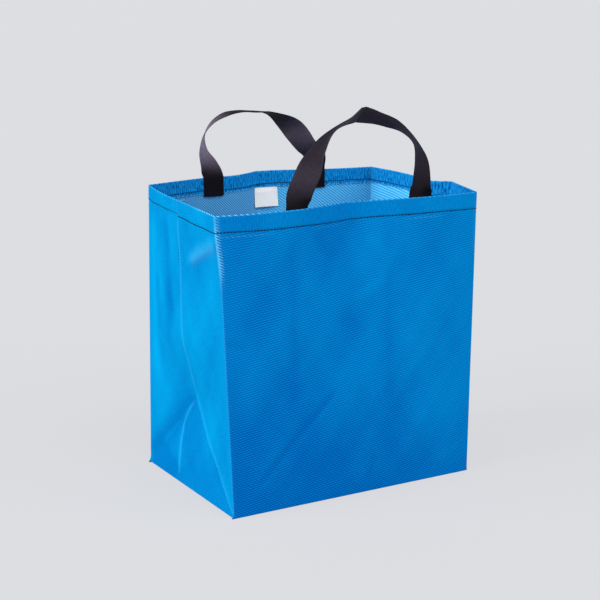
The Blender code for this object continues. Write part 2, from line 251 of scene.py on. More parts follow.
FRONT_DENTS = (
    (((-0.019, 0.126), (-0.069, 0.077), (-0.126, 0.026)), -0.0006, 0.0018, 0.0045),
    (((0.027, 0.040), (0.015, 0.012)), -0.0006, 0.0040, 0.0050),
    (((0.015, 0.290), (0.042, 0.258), (0.036, 0.236), (-0.004, 0.216)), 0.0007, 0.0090, 0.0070),
    (((-0.044, 0.296), (-0.024, 0.262)), -0.0007, 0.0080, 0.0070),
    (((0.056, 0.262), (0.058, 0.240)), -0.0005, 0.0090, 0.0090),
    (((-0.004, 0.203), (-0.002, 0.184)), -0.0004, 0.0080, 0.0080),
    (((-0.046, 0.256), (-0.050, 0.232)), 0.0005, 0.0090, 0.0100),
    (((0.060, 0.120), (0.100, 0.165)), 0.0004, 0.0050, 0.0080),
    (((-0.150, 0.190), (-0.128, 0.181)), -0.0006, 0.0040, 0.0030),
    (((0.112, 0.020), (0.140, 0.034)), 0.0004, 0.0060, 0.0060),
)
BACK_DENTS = (
    (((-0.050, 0.140), (0.010, 0.080), (0.080, 0.040)), -0.0005, 0.0020, 0.0050),
    (((0.060, 0.280), (0.040, 0.220)), 0.0007, 0.0090, 0.0080),
    (((-0.090, 0.290), (-0.070, 0.240)), -0.0006, 0.0080, 0.0080),
)
CREASES = {
    "front": FRONT_DENTS,
    "right": SIDE_FOLDS + RIGHT_DENTS,
    "back": BACK_DENTS,
    "left": SIDE_FOLDS + LEFT_DENTS,
}
# Painted light and shade along the folds of a wall, pale on lit slopes and dark in creases: lines as above,
# with an amount in place of the height
LEFT_PAINTED_SHADING = (
    (((-0.003, 0.105), (-0.057, 0.056), (-0.104, 0.011)), -0.42, 0.0025, 0.0110),
    (((-0.084, 0.300), (-0.083, 0.200), (-0.081, 0.100)), 0.36, 0.0080, 0.0140),
    (((-0.039, 0.300), (-0.040, 0.205), (-0.045, 0.135)), -0.12, 0.0120, 0.0140),
    (((0.100, 0.297), (0.054, 0.276), (0.022, 0.263)), 0.18, 0.0012, 0.0090),
    (((0.104, 0.294), (0.056, 0.272), (0.024, 0.259)), -0.25, 0.0050, 0.0014),
    (((-0.008, 0.096), (-0.024, 0.073), (-0.028, 0.048), (-0.029, 0.010)), 0.20, 0.0012, 0.0060),
    (((-0.100, 0.006), (-0.065, 0.010), (-0.035, 0.004)), -0.35, 0.0160, 0.0160),
    (((0.030, 0.250), (0.045, 0.190), (0.060, 0.130)), 0.12, 0.0250, 0.0250),
)
# Painted shade along the front's diagonal crease and in two upright bands, and a painted pale band between
# them
FRONT_PAINTED_SHADING = (
    (((-0.019, 0.126), (-0.069, 0.077), (-0.126, 0.026)), -0.20, 0.0016, 0.0055),
    (((-0.073, 0.295), (-0.073, 0.220), (-0.073, 0.110)), -0.18, 0.0060, 0.0060),
    (((0.043, 0.295), (0.043, 0.210), (0.045, 0.100)), -0.16, 0.0060, 0.0060),
    (((0.017, 0.295), (0.018, 0.220), (0.020, 0.110)), 0.16, 0.0140, 0.0140),
)
# Painted shade on the folded triangle low on each side wall
TRIANGLE_PAINTED_SHADE = -0.28
# Painted shade darkens the front below this height, which is measured along a slant, and painted light pales
# it between these two places
FRONT_LOW_PAINTED_SHADE = -0.50
FRONT_LOW_TOP = 0.16
FRONT_LOW_SLANT = 0.25
FRONT_RIGHT_PAINTED_LIGHT = 0.22
FRONT_RIGHT_FROM = (-0.02, 0.15)
# How much paler a metre of raised relief is painted, as painted light; sunk relief is painted darker
RELIEF_PAINTED_LIGHT = 260.0
# Slow waves of the slack cloth: (height, waves per metre across, waves per metre up, phase)
WAVES = (
    (0.00035, 9.0, 3.0, 0.4),
    (0.00030, -6.0, 8.0, 1.7),
    (0.00016, 17.0, -9.0, 3.1),
    (0.00010, 27.0, 16.0, 5.0),
    (0.00008, -34.0, 25.0, 2.2),
)
# The doubled hem keeps only part of the relief, from one depth below the rim to another
HEM_STIFFNESS = 0.75
STIFF_FROM = 0.028
STIFF_FULL = 0.018
# A stroke fades over this share of its length at each end, down to this share of its amount
STROKE_FADE = 0.12
STROKE_END = 0.25


def bell(distance, width):
    """A bell curve: exp(-(distance / width)^2)."""
    return np.exp(-((distance / width) ** 2))


def stroke_sum(strokes, across, z):
    """Sum of amount * bell(distance to the line, width) over the strokes, each faded at its line's ends."""
    total = np.zeros(np.broadcast(across, z).shape)
    for points, amount, left_width, right_width in strokes:
        signed, place = near_line(across, z, points)
        width = np.where(signed > 0, left_width, right_width)
        ends = smoothstep(0.0, STROKE_FADE, place) * (1 - smoothstep(1 - STROKE_FADE, 1.0, place))
        total += amount * bell(signed, width) * (STROKE_END + (1 - STROKE_END) * ends)
    return total


def slack_waves(panel, across, z):
    """Sum of slow sine waves, which die out at the base and at the corners."""
    shift = 1.3 * list(PANELS).index(panel)
    total = 0.0
    for height, per_across, per_up, phase in WAVES:
        total = total + height * np.sin(2 * math.pi * (per_across * across + per_up * z) + phase + shift)
    edge = 1 - smoothstep(0.80, 1.0, np.abs(across) / (PANEL_WIDTH[panel] / 2))
    return total * edge * smoothstep(0.0, 0.03, z)


def wall_relief(panel, across, z):
    """Creases, dents and slack together: how far the cloth stands out of its plain wall."""
    return stroke_sum(CREASES[panel], across, z) + slack_waves(panel, across, z)


def wall_plan(panel, fraction, z):
    """Plan position of the cloth's outer face: the line between the corners, moved out by bow and relief."""
    z = np.minimum(z, BAG_HEIGHT)
    h = z / BAG_HEIGHT
    start, end = (corner_plan(corner, h) for corner in PANELS[panel])
    along = end - start
    along = along / np.linalg.norm(along, axis=-1, keepdims=True)
    outward = np.stack([along[..., 1], -along[..., 0]], axis=-1)
    out = soft_bow(panel, fraction, h) * h ** BOW_FADE[panel]
    out = out + BELLY * np.sin(math.pi * h) * np.sin(math.pi * fraction)
    if panel in ("left", "right"):
        out = out - GUSSET_PUSH * gusset_depth(fraction, h)
    across = (fraction - 0.5) * PANEL_WIDTH[panel]
    stiff = 1 - HEM_STIFFNESS * smoothstep(BAG_HEIGHT - STIFF_FROM, BAG_HEIGHT - STIFF_FULL, z)
    out = out + stiff * wall_relief(panel, across, z)
    return start + (end - start) * np.expand_dims(fraction, -1) + outward * np.expand_dims(out, -1)


def wall_point(panel, fraction, z, inset):
    """Points (x, y, z) inside the cloth's outer face by the inset, for arrays of fraction and height."""
    fraction, z, inset = np.broadcast_arrays(fraction, z, inset)
    step = 0.002
    plan = wall_plan(panel, fraction, z)
    run = wall_plan(panel, fraction + step, z) - wall_plan(panel, fraction - step, z)
    run = run / np.linalg.norm(run, axis=-1, keepdims=True)
    inward = np.stack([-run[..., 1], run[..., 0]], axis=-1)
    plan = plan + inward * inset[..., None]
    return np.concatenate([plan, z[..., None]], axis=-1)


# %% [markdown]
# ## Columns and rings
# The cloth is a grid. Its columns run round the bag, close together at the folds and wider on the flat walls.
# Its rings follow the cut of the cloth: up the outside, over the hem's fold, down its turned edge, up behind
# it and down the inside. That way one closed skin is the whole sewn sheet, and its thickness is real.

# %% Columns
COLUMN_COUNT = {"front": 84, "right": 72, "back": 64, "left": 92}
CORNER_STEPS = 3


def panel_columns(panel):
    """Fractions along a panel: a few through each rounded corner, even ones between, and one at each fold."""
    corner = CORNER_RADIUS / PANEL_WIDTH[panel]
    bend = np.arange(CORNER_STEPS) / CORNER_STEPS * corner
    even = np.linspace(corner, 1 - corner, COLUMN_COUNT[panel])
    folds = [run[-1][0] for run in RIM_BOWS[panel][:-1]]
    if panel in ("left", "right"):
        folds = folds + [0.5]
    return np.unique(np.concatenate([bend, even, 1 - bend[1:], folds]).round(6))


columns = [(panel, fraction) for panel in PANELS for fraction in panel_columns(panel)]
column_panel = np.array([panel for panel, _ in columns])
column_fraction = np.array([fraction for _, fraction in columns])
panel_start = {}
distance = 0.0
for panel in PANELS:
    panel_start[panel] = distance
    distance += PANEL_WIDTH[panel]
column_distance = np.array([panel_start[p] + f * PANEL_WIDTH[p] for p, f in columns])
print("columns", len(columns))


def ring_plans(z):
    """Plan positions (ring, column, xy) of the outer face, each corner rounded with a quadratic curve."""
    z = np.asarray(z, float)[:, None]
    plans = np.zeros((len(z), len(columns), 2))
    for panel in PANELS:
        mine = column_panel == panel
        plans[:, mine] = wall_plan(panel, column_fraction[mine][None, :] + 0 * z, z)
    order = list(PANELS)
    for i, panel in enumerate(order):
        before = order[i - 1]
        here = CORNER_RADIUS / PANEL_WIDTH[panel]
        there = CORNER_RADIUS / PANEL_WIDTH[before]
        corner = PANELS[panel][0]
        knee = wall_plan(panel, 0.0 * z, z)
        sharp = (1 - np.minimum(z / TIP_HEIGHT, 1.0)) ** 2
        knee[..., 0] += CORNER_SIGNS[corner][0] * 2 * CORNER_TIP[corner] * sharp
        entry = wall_plan(before, 1 - there + 0 * z, z)
        leave = wall_plan(panel, here + 0 * z, z)
        on_before = (column_panel == before) & (column_fraction > 1 - there)
        on_panel = (column_panel == panel) & (column_fraction < here)
        turn = np.zeros(len(columns))
        turn[on_before] = 0.5 * (1 - (1 - column_fraction[on_before]) / there)
        turn[on_panel] = 0.5 + 0.5 * column_fraction[on_panel] / here
        bent = on_before | on_panel
        t = turn[bent][None, :, None]
        plans[:, bent] = entry * (1 - t) ** 2 + 2 * knee * t * (1 - t) + leave * t**2
    return plans


def inset_rings(z, inset):
    """The rings moved inwards by the inset, along the bisector of each column's two neighbours."""
    plans = ring_plans(z)
    run = np.roll(plans, -1, axis=1) - np.roll(plans, 1, axis=1)
    run /= np.linalg.norm(run, axis=2, keepdims=True)
    inward = np.stack([-run[..., 1], run[..., 0]], axis=-1)
    plans = plans + inward * np.asarray(inset)[:, None, None]
    height = np.broadcast_to(np.asarray(z)[:, None, None], plans.shape[:2] + (1,))
    return np.concatenate([plans, height], axis=2)


# %% [markdown]
# ## Turning grids into meshes
# Almost every new piece is a stack of equal rings of points. One function joins them into a closed skin with
# a fan of triangles at each end, and it can carry per-point values and a pattern map for the material.


# %% Mesh helpers
def ring_quads(count, size):
    """Quads between neighbouring rings of points, as the numbers of their four points."""
    i, j = np.meshgrid(np.arange(count - 1), np.arange(size), indexing="ij")
    right = (j + 1) % size
    quads = np.stack([i * size + j, i * size + right, (i + 1) * size + right, (i + 1) * size + j], axis=-1)
    return quads.reshape(-1, 4)


def face_pattern(u, v, seam=0.0):
    """Pattern place (ring, point, corner, uv) of the quads, from u round a ring and v per ring.

    The seam is what u has gained when a ring comes back to its first point."""
    ahead = np.append(u[1:], u[0] + seam)
    corner_u = np.broadcast_to(np.stack([u, ahead, ahead, u], axis=-1), (len(v) - 1, len(u), 4))
    corner_v = np.stack([v[:-1], v[:-1], v[1:], v[1:]], axis=-1)[:, None]
    return np.stack(np.broadcast_arrays(corner_u, corner_v), axis=-1)


def lofted(name, rings, values=None, pattern=None, sharp_over=50):
    """A closed mesh through rings (ring, point, xyz): quads between neighbours and a fan on each end."""
    count, size = rings.shape[:2]
    quads = ring_quads(count, size)
    around = np.arange(size)
    ahead = (around + 1) % size
    top = (count - 1) * size
    first_fan = np.stack([ahead, around, np.full(size, count * size)], axis=-1)
    last_fan = np.stack([top + around, top + ahead, np.full(size, count * size + 1)], axis=-1)
    points = np.concatenate([rings.reshape(-1, 3), rings[:1].mean(axis=1), rings[-1:].mean(axis=1)])
    fans = np.concatenate([first_fan, last_fan])
    mesh = bpy.data.meshes.new(name)
    mesh.from_pydata(points.tolist(), [], quads.tolist() + fans.tolist())
    for key, data in (values or {}).items():
        layer = mesh.attributes.new(key, "FLOAT", "POINT")
        data = np.broadcast_to(np.asarray(data, float), (count, size))
        whole = np.concatenate([data.ravel(), [data[0].mean(), data[-1].mean()]])
        layer.data.foreach_set("value", np.ascontiguousarray(whole, dtype=np.float32))
    if pattern is not None:
        layer = mesh.uv_layers.new(name="weave")
        flat = np.concatenate([pattern.reshape(-1, 2), points[fans.ravel(), :2]])
        layer.data.foreach_set("uv", flat.astype(np.float32).ravel())
    mesh.shade_smooth()
    mesh.set_sharp_from_angle(angle=math.radians(sharp_over))
    mesh.validate()
    made = bpy.data.objects.new(name, mesh)
    bpy.context.collection.objects.link(made)
    return made


# %% [markdown]
# ## The cloth
# The profile lists how high each ring is, how far inside the outer face, and how far along the cut cloth. The
# pattern map turns the weave to its own angle on each wall, because the sheet was cut and folded, and on the
# inside the back of the weave shows. Values on each point mark the inner face, the hem and its turned edge,
# the two sides, the worn places, and the painted light and shade on the walls.

# %% Cloth profile
WALL_ROWS = 88
HEM_ROWS = 20
RAW_EDGE_ROWS = 7
LEAF_ROWS = 18
BEHIND_ROWS = 6
INSIDE_ROWS = 80
# The turned edge's darker blue, painted shade over its grain, comes in between these two rows of the fold
TURNED_FROM_ROW = 3
TURNED_BY_ROW = 6
RAW_EDGE_PAST_STITCH = 0.0045
RAW_EDGE_REACH = 0.0014
HEM_SWELL = 0.00018
OUTER_PULL = 0.00040
LEAF_PULL = 0.00025
PULL_WIDTH = 0.0012

fold_base = BAG_HEIGHT - HEM_STACK / 2
hem_edge = BAG_HEIGHT - HEM_DEPTH
turns = np.linspace(0, math.pi, 7)
foot_z = np.array([0.0, 0.0003, 0.001, 0.0025, 0.004, 0.006])
wall_z = np.linspace(0.008, hem_edge - 0.002, WALL_ROWS)
hem_z = np.linspace(hem_edge - 0.0008, fold_base - 0.0003, HEM_ROWS)
stitch_z = BAG_HEIGHT - HEM_STITCH
raw_edge_z = stitch_z - RAW_EDGE_PAST_STITCH
near_raw_edge_z = raw_edge_z + np.linspace(-RAW_EDGE_REACH, RAW_EDGE_REACH, RAW_EDGE_ROWS)
outside_z = np.unique(np.concatenate([foot_z, wall_z, near_raw_edge_z, hem_z]))
foot_inset = BOTTOM_EDGE * (1 - np.sqrt(1 - (1 - np.minimum(outside_z / BOTTOM_EDGE, 1)) ** 2))
hem_swell = HEM_SWELL * smoothstep(hem_edge - 0.0006, hem_edge + 0.0012, outside_z)
outside_inset = foot_inset - hem_swell + OUTER_PULL * bell(outside_z - stitch_z, PULL_WIDTH)
over_z = fold_base + HEM_STACK / 2 * np.sin(turns)
over_inset = HEM_STACK / 2 * (1 - np.cos(turns)) - HEM_SWELL * (1 - turns / math.pi)
leaf_z = np.linspace(fold_base - 0.0004, hem_edge, LEAF_ROWS)
leaf_inset = HEM_STACK - LEAF_PULL * bell(leaf_z - stitch_z, PULL_WIDTH)
behind_z = np.linspace(hem_edge, fold_base - 0.001, BEHIND_ROWS)
behind_inset = np.full(BEHIND_ROWS, CLOTH + HEM_GAP)
under_z = fold_base + HEM_GAP / 2 * np.sin(turns[1:-1])
under_inset = HEM_STACK / 2 + HEM_GAP / 2 * np.cos(turns[1:-1])
inside_foot_z = [0.006, 0.004, 0.0025, 0.0012, CLOTH]
inside_z = np.concatenate([behind_z[:0:-1], np.linspace(hem_edge, 0.008, INSIDE_ROWS), inside_foot_z])
inside_inset = np.full(len(inside_z), CLOTH)

profile_z = np.concatenate([outside_z, over_z, leaf_z, behind_z, under_z, inside_z])
profile_inset = np.concatenate([outside_inset, over_inset, leaf_inset, behind_inset, under_inset,
                                inside_inset])
outer_rows = len(outside_z) + len(over_z) + len(leaf_z)
row_inner = (np.arange(len(profile_z)) >= outer_rows).astype(float)
row_run = np.concatenate([[0.0], np.cumsum(np.hypot(np.diff(profile_z), np.diff(profile_inset)))])
row_run[outer_rows:] = profile_z[outer_rows:]
row_hem = smoothstep(hem_edge - 0.001, hem_edge + 0.001, profile_z)
past_outside = np.arange(len(profile_z)) - len(outside_z)
row_turned = smoothstep(TURNED_FROM_ROW, TURNED_BY_ROW, past_outside) * (1 - row_inner)
print("cloth rows", len(profile_z), "points", len(profile_z) * len(columns))

# %% Worn folds, painted highlights, and painted light and shade
EDGE_WEAR = {"front_left": 1.0, "front_right": 0.12, "back_right": 0.20, "back_left": 0.25}
EDGE_WEAR_WIDTH = 0.0010
# Just below the hem the folded bag is creased twice, so the corners are worn wider there and more strongly
TWICE_CREASED = (0.240, 0.275)
TWICE_CREASED_END = (0.300, 0.320)
TWICE_CREASED_WIDER = 0.0017
LOW_EDGE_SHARE = 0.14
# Painted highlights: a pale line along the raised side folds, and one all round the rim's top
SEAM_HIGHLIGHT = 0.17
SEAM_HIGHLIGHT_WIDTH = 0.0012
RIM_HIGHLIGHT = 0.30
RIM_LINE_WIDTH = 0.0008
# The rim is worn through at the front left corner, and less past these two distances from it
RIM_WORN_THROUGH = (0.030, 0.060)
TURNED_EDGE_WEAR = 0.7
TURNED_EDGE_WIDTH = 0.0010
RAW_EDGE_WEAR = 0.20
RAW_EDGE_WIDTH = 0.0007
# The chafed patch below the hem, as a line with an amount and its two widths
LEFT_SCUFF = ((((0.098, 0.291), (0.060, 0.277), (0.026, 0.262)), 0.30, 0.0050, 0.0070),)
perimeter = sum(PANEL_WIDTH.values())


def panel_across(panel):
    """The columns of a panel, and how far each lies from the panel's middle."""
    mine = column_panel == panel
    return mine, ((column_fraction[mine] - 0.5) * PANEL_WIDTH[panel])[None, :]


def corner_wear(z):
    """Bell curves over the four folded corners."""
    wear = np.zeros((len(z), len(columns)))
    high = smoothstep(*TWICE_CREASED, z) * (1 - 0.35 * smoothstep(*TWICE_CREASED_END, z))
    for panel, (corner, _) in PANELS.items():
        gap = np.abs(column_distance - panel_start[panel])
        gap = np.minimum(gap, perimeter - gap)
        strength = EDGE_WEAR[corner] * (LOW_EDGE_SHARE + (1 - LOW_EDGE_SHARE) * high)
        wear = np.maximum(wear, strength * bell(gap, EDGE_WEAR_WIDTH + TWICE_CREASED_WIDER * high))
    return wear


def rim_highlight_and_wear(z):
    """Painted highlight along the rim and real wear at its front left corner, wear along the turned edge
    inside, and dashes over the raw edge outside.
    """
    from_corner = np.minimum(column_distance, perimeter - column_distance)
    rim = RIM_HIGHLIGHT + (1 - RIM_HIGHLIGHT) * (1 - smoothstep(*RIM_WORN_THROUGH, from_corner))
    rim = rim * bell(z - BAG_HEIGHT, RIM_LINE_WIDTH)
    turned = row_turned[:, None] * TURNED_EDGE_WEAR * bell(z - hem_edge, TURNED_EDGE_WIDTH)
    dashes = np.clip(np.sin(61.0 * column_distance) + 0.6 * np.sin(23.0 * column_distance + 1.0), 0.0, 1.0)
    outside = (np.arange(len(z)) < len(outside_z))[:, None] & (column_panel == "front")[None, :]
    raw = RAW_EDGE_WEAR * dashes[None, :] * outside * bell(z - raw_edge_z, RAW_EDGE_WIDTH)
    return np.maximum(raw, np.maximum(rim, turned))


def wear_and_highlight(z):
    """How pale each point of each ring is, from 0 to 1: the most of worn corners, the rim's painted highlight
    and wear, the painted highlight on the side folds, and the scuff.
    """
    z = np.asarray(z)[:, None]
    wear = np.maximum(corner_wear(z), rim_highlight_and_wear(z))
    for panel in ("left", "right"):
        mine, across = panel_across(panel)
        for points, height, _, _ in SIDE_FOLDS:
            # Painted highlight along the raised side folds
            if height > 0:
                signed, _ = near_line(across, z, points)
                wear[:, mine] = np.maximum(wear[:, mine], SEAM_HIGHLIGHT * bell(signed, SEAM_HIGHLIGHT_WIDTH))
    mine, across = panel_across("left")
    wear[:, mine] = np.maximum(wear[:, mine], stroke_sum(LEFT_SCUFF, across, z))
    return wear


def cloth_tone(z):
    """Painted light and shade at each point of each ring, about 0.5: strokes, the shaded folded triangle, and
    raised relief painted pale.
    """
    z = np.asarray(z)[:, None]
    tone = np.zeros((len(z), len(columns)))
    for panel in PANELS:
        mine, across = panel_across(panel)
        value = 0.5 + RELIEF_PAINTED_LIGHT * wall_relief(panel, across, z)
        if panel in ("left", "right"):
            depth = 1 - np.abs(2 * across / PANEL_WIDTH[panel]) - z / BAG_HEIGHT / GUSSET_APEX
            value = value + TRIANGLE_PAINTED_SHADE * smoothstep(-0.01, 0.03, depth)
        if panel == "left":
            value = value + stroke_sum(LEFT_PAINTED_SHADING, across, z)
        if panel == "front":
            low = 1 - smoothstep(0.0, FRONT_LOW_TOP, z + FRONT_LOW_SLANT * across)
            value = value + FRONT_LOW_PAINTED_SHADE * low + FRONT_RIGHT_PAINTED_LIGHT * smoothstep(*FRONT_RIGHT_FROM, across)
            value = value + stroke_sum(FRONT_PAINTED_SHADING, across, z)
        tone[:, mine] = value
    return np.clip(tone, 0.0, 1.4)


# %% Weave map
# Angle of the weave's lines on each wall, outside and inside, in degrees above the level, how coarse the
# inside looks on each, and how much painted light it carries. Past its crease, the back wall shows a finer
# and steeper weave, with no painted light.
OUTSIDE_LEAN = {"front": 8.0, "right": -38.0, "back": 8.0, "left": -42.0}
INSIDE_LEAN = {"front": 24.0, "right": 8.0, "back": 37.0, "left": 24.0}
INSIDE_COARSE = {"front": 1.0, "right": 1.30, "back": 1.14, "left": 1.0}
INSIDE_PAINTED_LIGHT = {"front": 0.0, "right": 0.72, "back": 0.45, "left": 0.0}
BACK_LEFT_LEAN = 43.0
BACK_LEFT_COARSE = 0.92
BACK_LEFT_PAINTED_LIGHT = 0.0


def by_column(table, past_crease):
    """A panel's value on each column, with a value of its own on the back wall past its crease."""
    past = (column_panel == "back") & (column_fraction > BACK_CREASE_AT)
    return np.where(past, past_crease, [table[panel] for panel in column_panel])


def weave_map():
    """Pattern places of each quad's corners: distance round and along the cloth, turned by the lean."""
    u, v = np.moveaxis(face_pattern(column_distance, row_run, perimeter), -1, 0)
    outside = np.radians([OUTSIDE_LEAN[panel] for panel in column_panel])
    inside = np.radians(by_column(INSIDE_LEAN, BACK_LEFT_LEAN))
    coarse = by_column(INSIDE_COARSE, BACK_LEFT_COARSE)
    inner = row_inner[1:, None] * row_inner[:-1, None]
    lean = (outside[None] * (1 - inner) + inside[None] * inner)[..., None]
    scale = (1 / (1 + (coarse[None] - 1) * inner))[..., None]
    turned = np.stack([u * np.cos(lean) + v * np.sin(lean), v * np.cos(lean) - u * np.sin(lean)], axis=-1)
    return turned * scale[..., None]


# %% Cloth mesh
bag = lofted(
    "bag_cloth",
    inset_rings(profile_z, profile_inset),
    values={
        "inner": row_inner[:, None],
        "hem": row_hem[:, None],
        "wear": wear_and_highlight(profile_z),
        "around": column_distance,
        # Marks the side walls, which get painted light
        "flank": np.isin(column_panel, ("left", "right")),
        # Marks the turned edge, which gets painted shade
        "turned": row_turned[:, None],
        # Painted light on the inside walls that the key light reaches
        "bright": by_column(INSIDE_PAINTED_LIGHT, BACK_LEFT_PAINTED_LIGHT),
        "tone": cloth_tone(profile_z),
    },
    pattern=weave_map(),
)
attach(bag, "root")
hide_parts("bag_body")
print("cloth faces", len(bag.data.polygons))

# %% [markdown]
# ## Seam allowances
# The two halves were hemmed first and then sewn face to face, so inside each side a double fin of cloth,
# about a finger's nail wide, stands off the seam and leans to one side. It stops at the boxed base.

# %% Seam allowances
FIN_WIDTH = 0.009
FIN_THICKNESS = 0.0011
FIN_POINTS = 9
# Angle in radians from straight off the wall: on each side, its sways with height, and at the rim
FIN_LEAN = {"left": 0.9, "right": -0.8}
FIN_SWAYS = ((0.20, 9.0, 0.0), (0.12, 23.0, 1.0))
FIN_TOP_LEAN = 0.35
FIN_TOP = 0.03


def fin_frame(panel):
    """Along a side seam: heights, the fin's root, the way it stands off the wall, and across its faces."""
    z = np.linspace(0.006, BAG_HEIGHT - 0.001, 90)
    root = wall_point(panel, 0.5 + 0 * z, z, HEM_STACK * smoothstep(hem_edge - 0.003, hem_edge, z) + CLOTH)
    inward = wall_point(panel, 0.5 + 0 * z, z, 0.004 + HEM_STACK) - root
    inward /= np.linalg.norm(inward, axis=1)[:, None]
    along = np.stack([-inward[:, 1], inward[:, 0], 0 * z], axis=1)
    lean = FIN_LEAN[panel]
    for angle, per_metre, phase in FIN_SWAYS:
        lean = lean + angle * np.sin(2 * math.pi * z * per_metre + phase)
    lean = FIN_TOP_LEAN + (lean - FIN_TOP_LEAN) * smoothstep(BAG_HEIGHT, BAG_HEIGHT - FIN_TOP, z)
    reach = np.cos(lean)[:, None] * inward + np.sin(lean)[:, None] * along
    return z, root, reach, np.cross(reach, (0.0, 0.0, 1.0))


def seam_fin(panel):
    """A thin fin along the seam: its section is a flat strip that turns from the wall by the lean angle."""
    z, root, reach, thick = fin_frame(panel)
    t = np.linspace(0, 1, FIN_POINTS)
    half = FIN_THICKNESS / 2 * np.sqrt(1 - (2 * np.abs(t - 0.5)) ** 10) + 0.00004
    upper = list(zip(t, half))
    section = upper + [(a, -b) for a, b in upper[::-1]]
    rings = np.stack([root + reach * FIN_WIDTH * a + thick * b for a, b in section], axis=1)
    u = np.array([a * FIN_WIDTH for a, _ in section])
    plain = dict.fromkeys(("hem", "wear", "flank", "turned", "bright"), 0.0)
    values = {"inner": 1.0, "around": u + 0.1, "tone": 0.5, **plain}
    fin = lofted(f"seam_fin_{panel}", rings, values, face_pattern(u, z))
    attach(fin, "root")
    return fin


fins = [seam_fin(panel) for panel in FIN_LEAN]

# %% [markdown]
# ## Stitches
# A lockstitch shows as short bars of thread, each arched over the cloth with both ends pulled into it. One
# function lays such bars along any line of points, so it also serves the inside thread and the handle ends.

# %% Stitch helper
STITCH_LENGTH = 0.0034
STITCH_PITCH = 0.0036
BAR_RINGS = 6
BAR_SIDES = 6
# As shares of the thread: how far a bar's middle rises over its ends, and how deep its ends lie in the cloth
BAR_ARCH = 0.75
BAR_SINK = 0.45
BAR_TAPER = 0.85


def stitched(name, path, outward, thread, pitch=STITCH_PITCH, length=STITCH_LENGTH):
    """Bars along a path, with q from -1 to 1 along each: it rises as 1 - q^2 and thins out as q^4."""
    path = np.asarray(path)
    steps = np.linalg.norm(np.diff(path, axis=0), axis=1)
    run = np.concatenate([[0.0], np.cumsum(steps)])
    count = max(1, int(run[-1] / pitch))
    middle = (np.arange(count) + 0.5) * run[-1] / count
    q = np.linspace(-1, 1, BAR_RINGS)
    at = np.clip(middle[:, None] + q[None, :] * length / 2, 0, run[-1])
    centre = np.stack([np.interp(at, run, path[:, k]) for k in range(3)], axis=-1)
    out = np.stack([np.interp(at, run, outward[:, k]) for k in range(3)], axis=-1)
    out /= np.linalg.norm(out, axis=-1, keepdims=True)
    along = np.gradient(centre, axis=1)
    along /= np.linalg.norm(along, axis=-1, keepdims=True)
    side = np.cross(along, out)
    centre = centre + out * (thread * (BAR_ARCH * (1 - q**2) - BAR_SINK))[None, :, None]
    radius = (thread / 2 * np.sqrt(1 - BAR_TAPER * q**4))[None, :, None, None]
    angle = np.arange(BAR_SIDES) * 2 * math.pi / BAR_SIDES
    around = np.cos(angle)[:, None] * side[..., None, :] + np.sin(angle)[:, None] * out[..., None, :]
    points = centre[..., None, :] + around * radius
    bar = BAR_RINGS * BAR_SIDES
    shift = (np.arange(count) * bar)[:, None]
    faces = (ring_quads(BAR_RINGS, BAR_SIDES)[None] + shift[..., None]).reshape(-1, 4).tolist()
    first = (np.arange(BAR_SIDES)[::-1][None, :] + shift).tolist()
    last = (np.arange(bar - BAR_SIDES, bar)[None, :] + shift).tolist()
    mesh = bpy.data.meshes.new(name)
    mesh.from_pydata(points.reshape(-1, 3).tolist(), [], faces + first + last)
    mesh.shade_smooth()
    made = bpy.data.objects.new(name, mesh)
    bpy.context.collection.objects.link(made)
    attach(made, "root")
    return made


# %% Hem stitches
HEM_THREAD = 0.00095
# The wander of a hand-guided seam, as (height, turns in radians from end to end, phase)
HEM_WANDER = ((0.0004, 21.0, 1.0), (0.0003, 47.0, 0.0))
left_seam = columns.index(("left", 0.5))
right_seam = columns.index(("right", 0.5))


def hem_path(start, end, depth, inset):
    """Points along the hem from one column to another, and the way out of the cloth at each."""
    count = (end - start) % len(columns)
    picked = (start + np.arange(count + 1)) % len(columns)
    travel = np.linspace(0, 1, count + 1)
    wander = sum(height * np.sin(travel * turns_over + phase) for height, turns_over, phase in HEM_WANDER)
    z = BAG_HEIGHT - depth + wander
    rings = inset_rings(np.array([BAG_HEIGHT - depth]), np.array([inset]))[0][picked]
    path = np.concatenate([rings[:, :2], z[:, None]], axis=1)
    tangent = np.gradient(path, axis=0)
    out = np.stack([tangent[:, 1], -tangent[:, 0], 0 * z], axis=1)
    out /= np.linalg.norm(out, axis=1)[:, None]
    return path, out


BACK_STITCH = HEM_STITCH - HALVES_STEP
threads = []
for name, start, end, depth in (
    ("front", left_seam, right_seam, HEM_STITCH),
    ("back", right_seam, left_seam, BACK_STITCH),
):
    path, out = hem_path(start, end, depth, 0.0)
    outer = stitched(f"hem_stitches_{name}", path, out, HEM_THREAD)
    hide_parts(f"hem_thread_{name}")
    path, out = hem_path(start, end, depth, HEM_STACK)
    inner = stitched(f"hem_bobbin_{name}", path, -out, HEM_THREAD)
    threads += [outer, inner]
print("hem stitch pieces", len(threads))

# %% Side seam stitches
SEAM_STITCH_AT = 0.0016


def seam_stitches(panel):
    """A line of bars on each face of the fin, close to the seam that they hold."""
    _, root, reach, thick = fin_frame(panel)
    for face, sign in (("front", 1), ("back", -1)):
        path = root + reach * SEAM_STITCH_AT + sign * thick * FIN_THICKNESS / 2
        name = f"seam_stitches_{panel}_{face}"
        threads.append(stitched(name, path, sign * thick, HEM_THREAD))


for panel in FIN_LEAN:
    seam_stitches(panel)
print("stitch pieces", len(threads))

# %% [markdown]
# ## Handles
# Each handle is one length of webbing, sewn flat inside the hem at both ends. Between them it stands up on
# its own stiffness, leans and twists, because it was folded flat with the bag. A short list of stations gives
# its place, lean and turn, a smooth curve joins them, and the section is a thin strip with soft edges.

# %% Handle stations
FRONT_HANDLE_ENDS = (0.291, 0.771)
FRONT_HANDLE_RISE = 0.088
BACK_HANDLE_ENDS = (0.703, 0.247)
BACK_HANDLE_RISE = 0.074
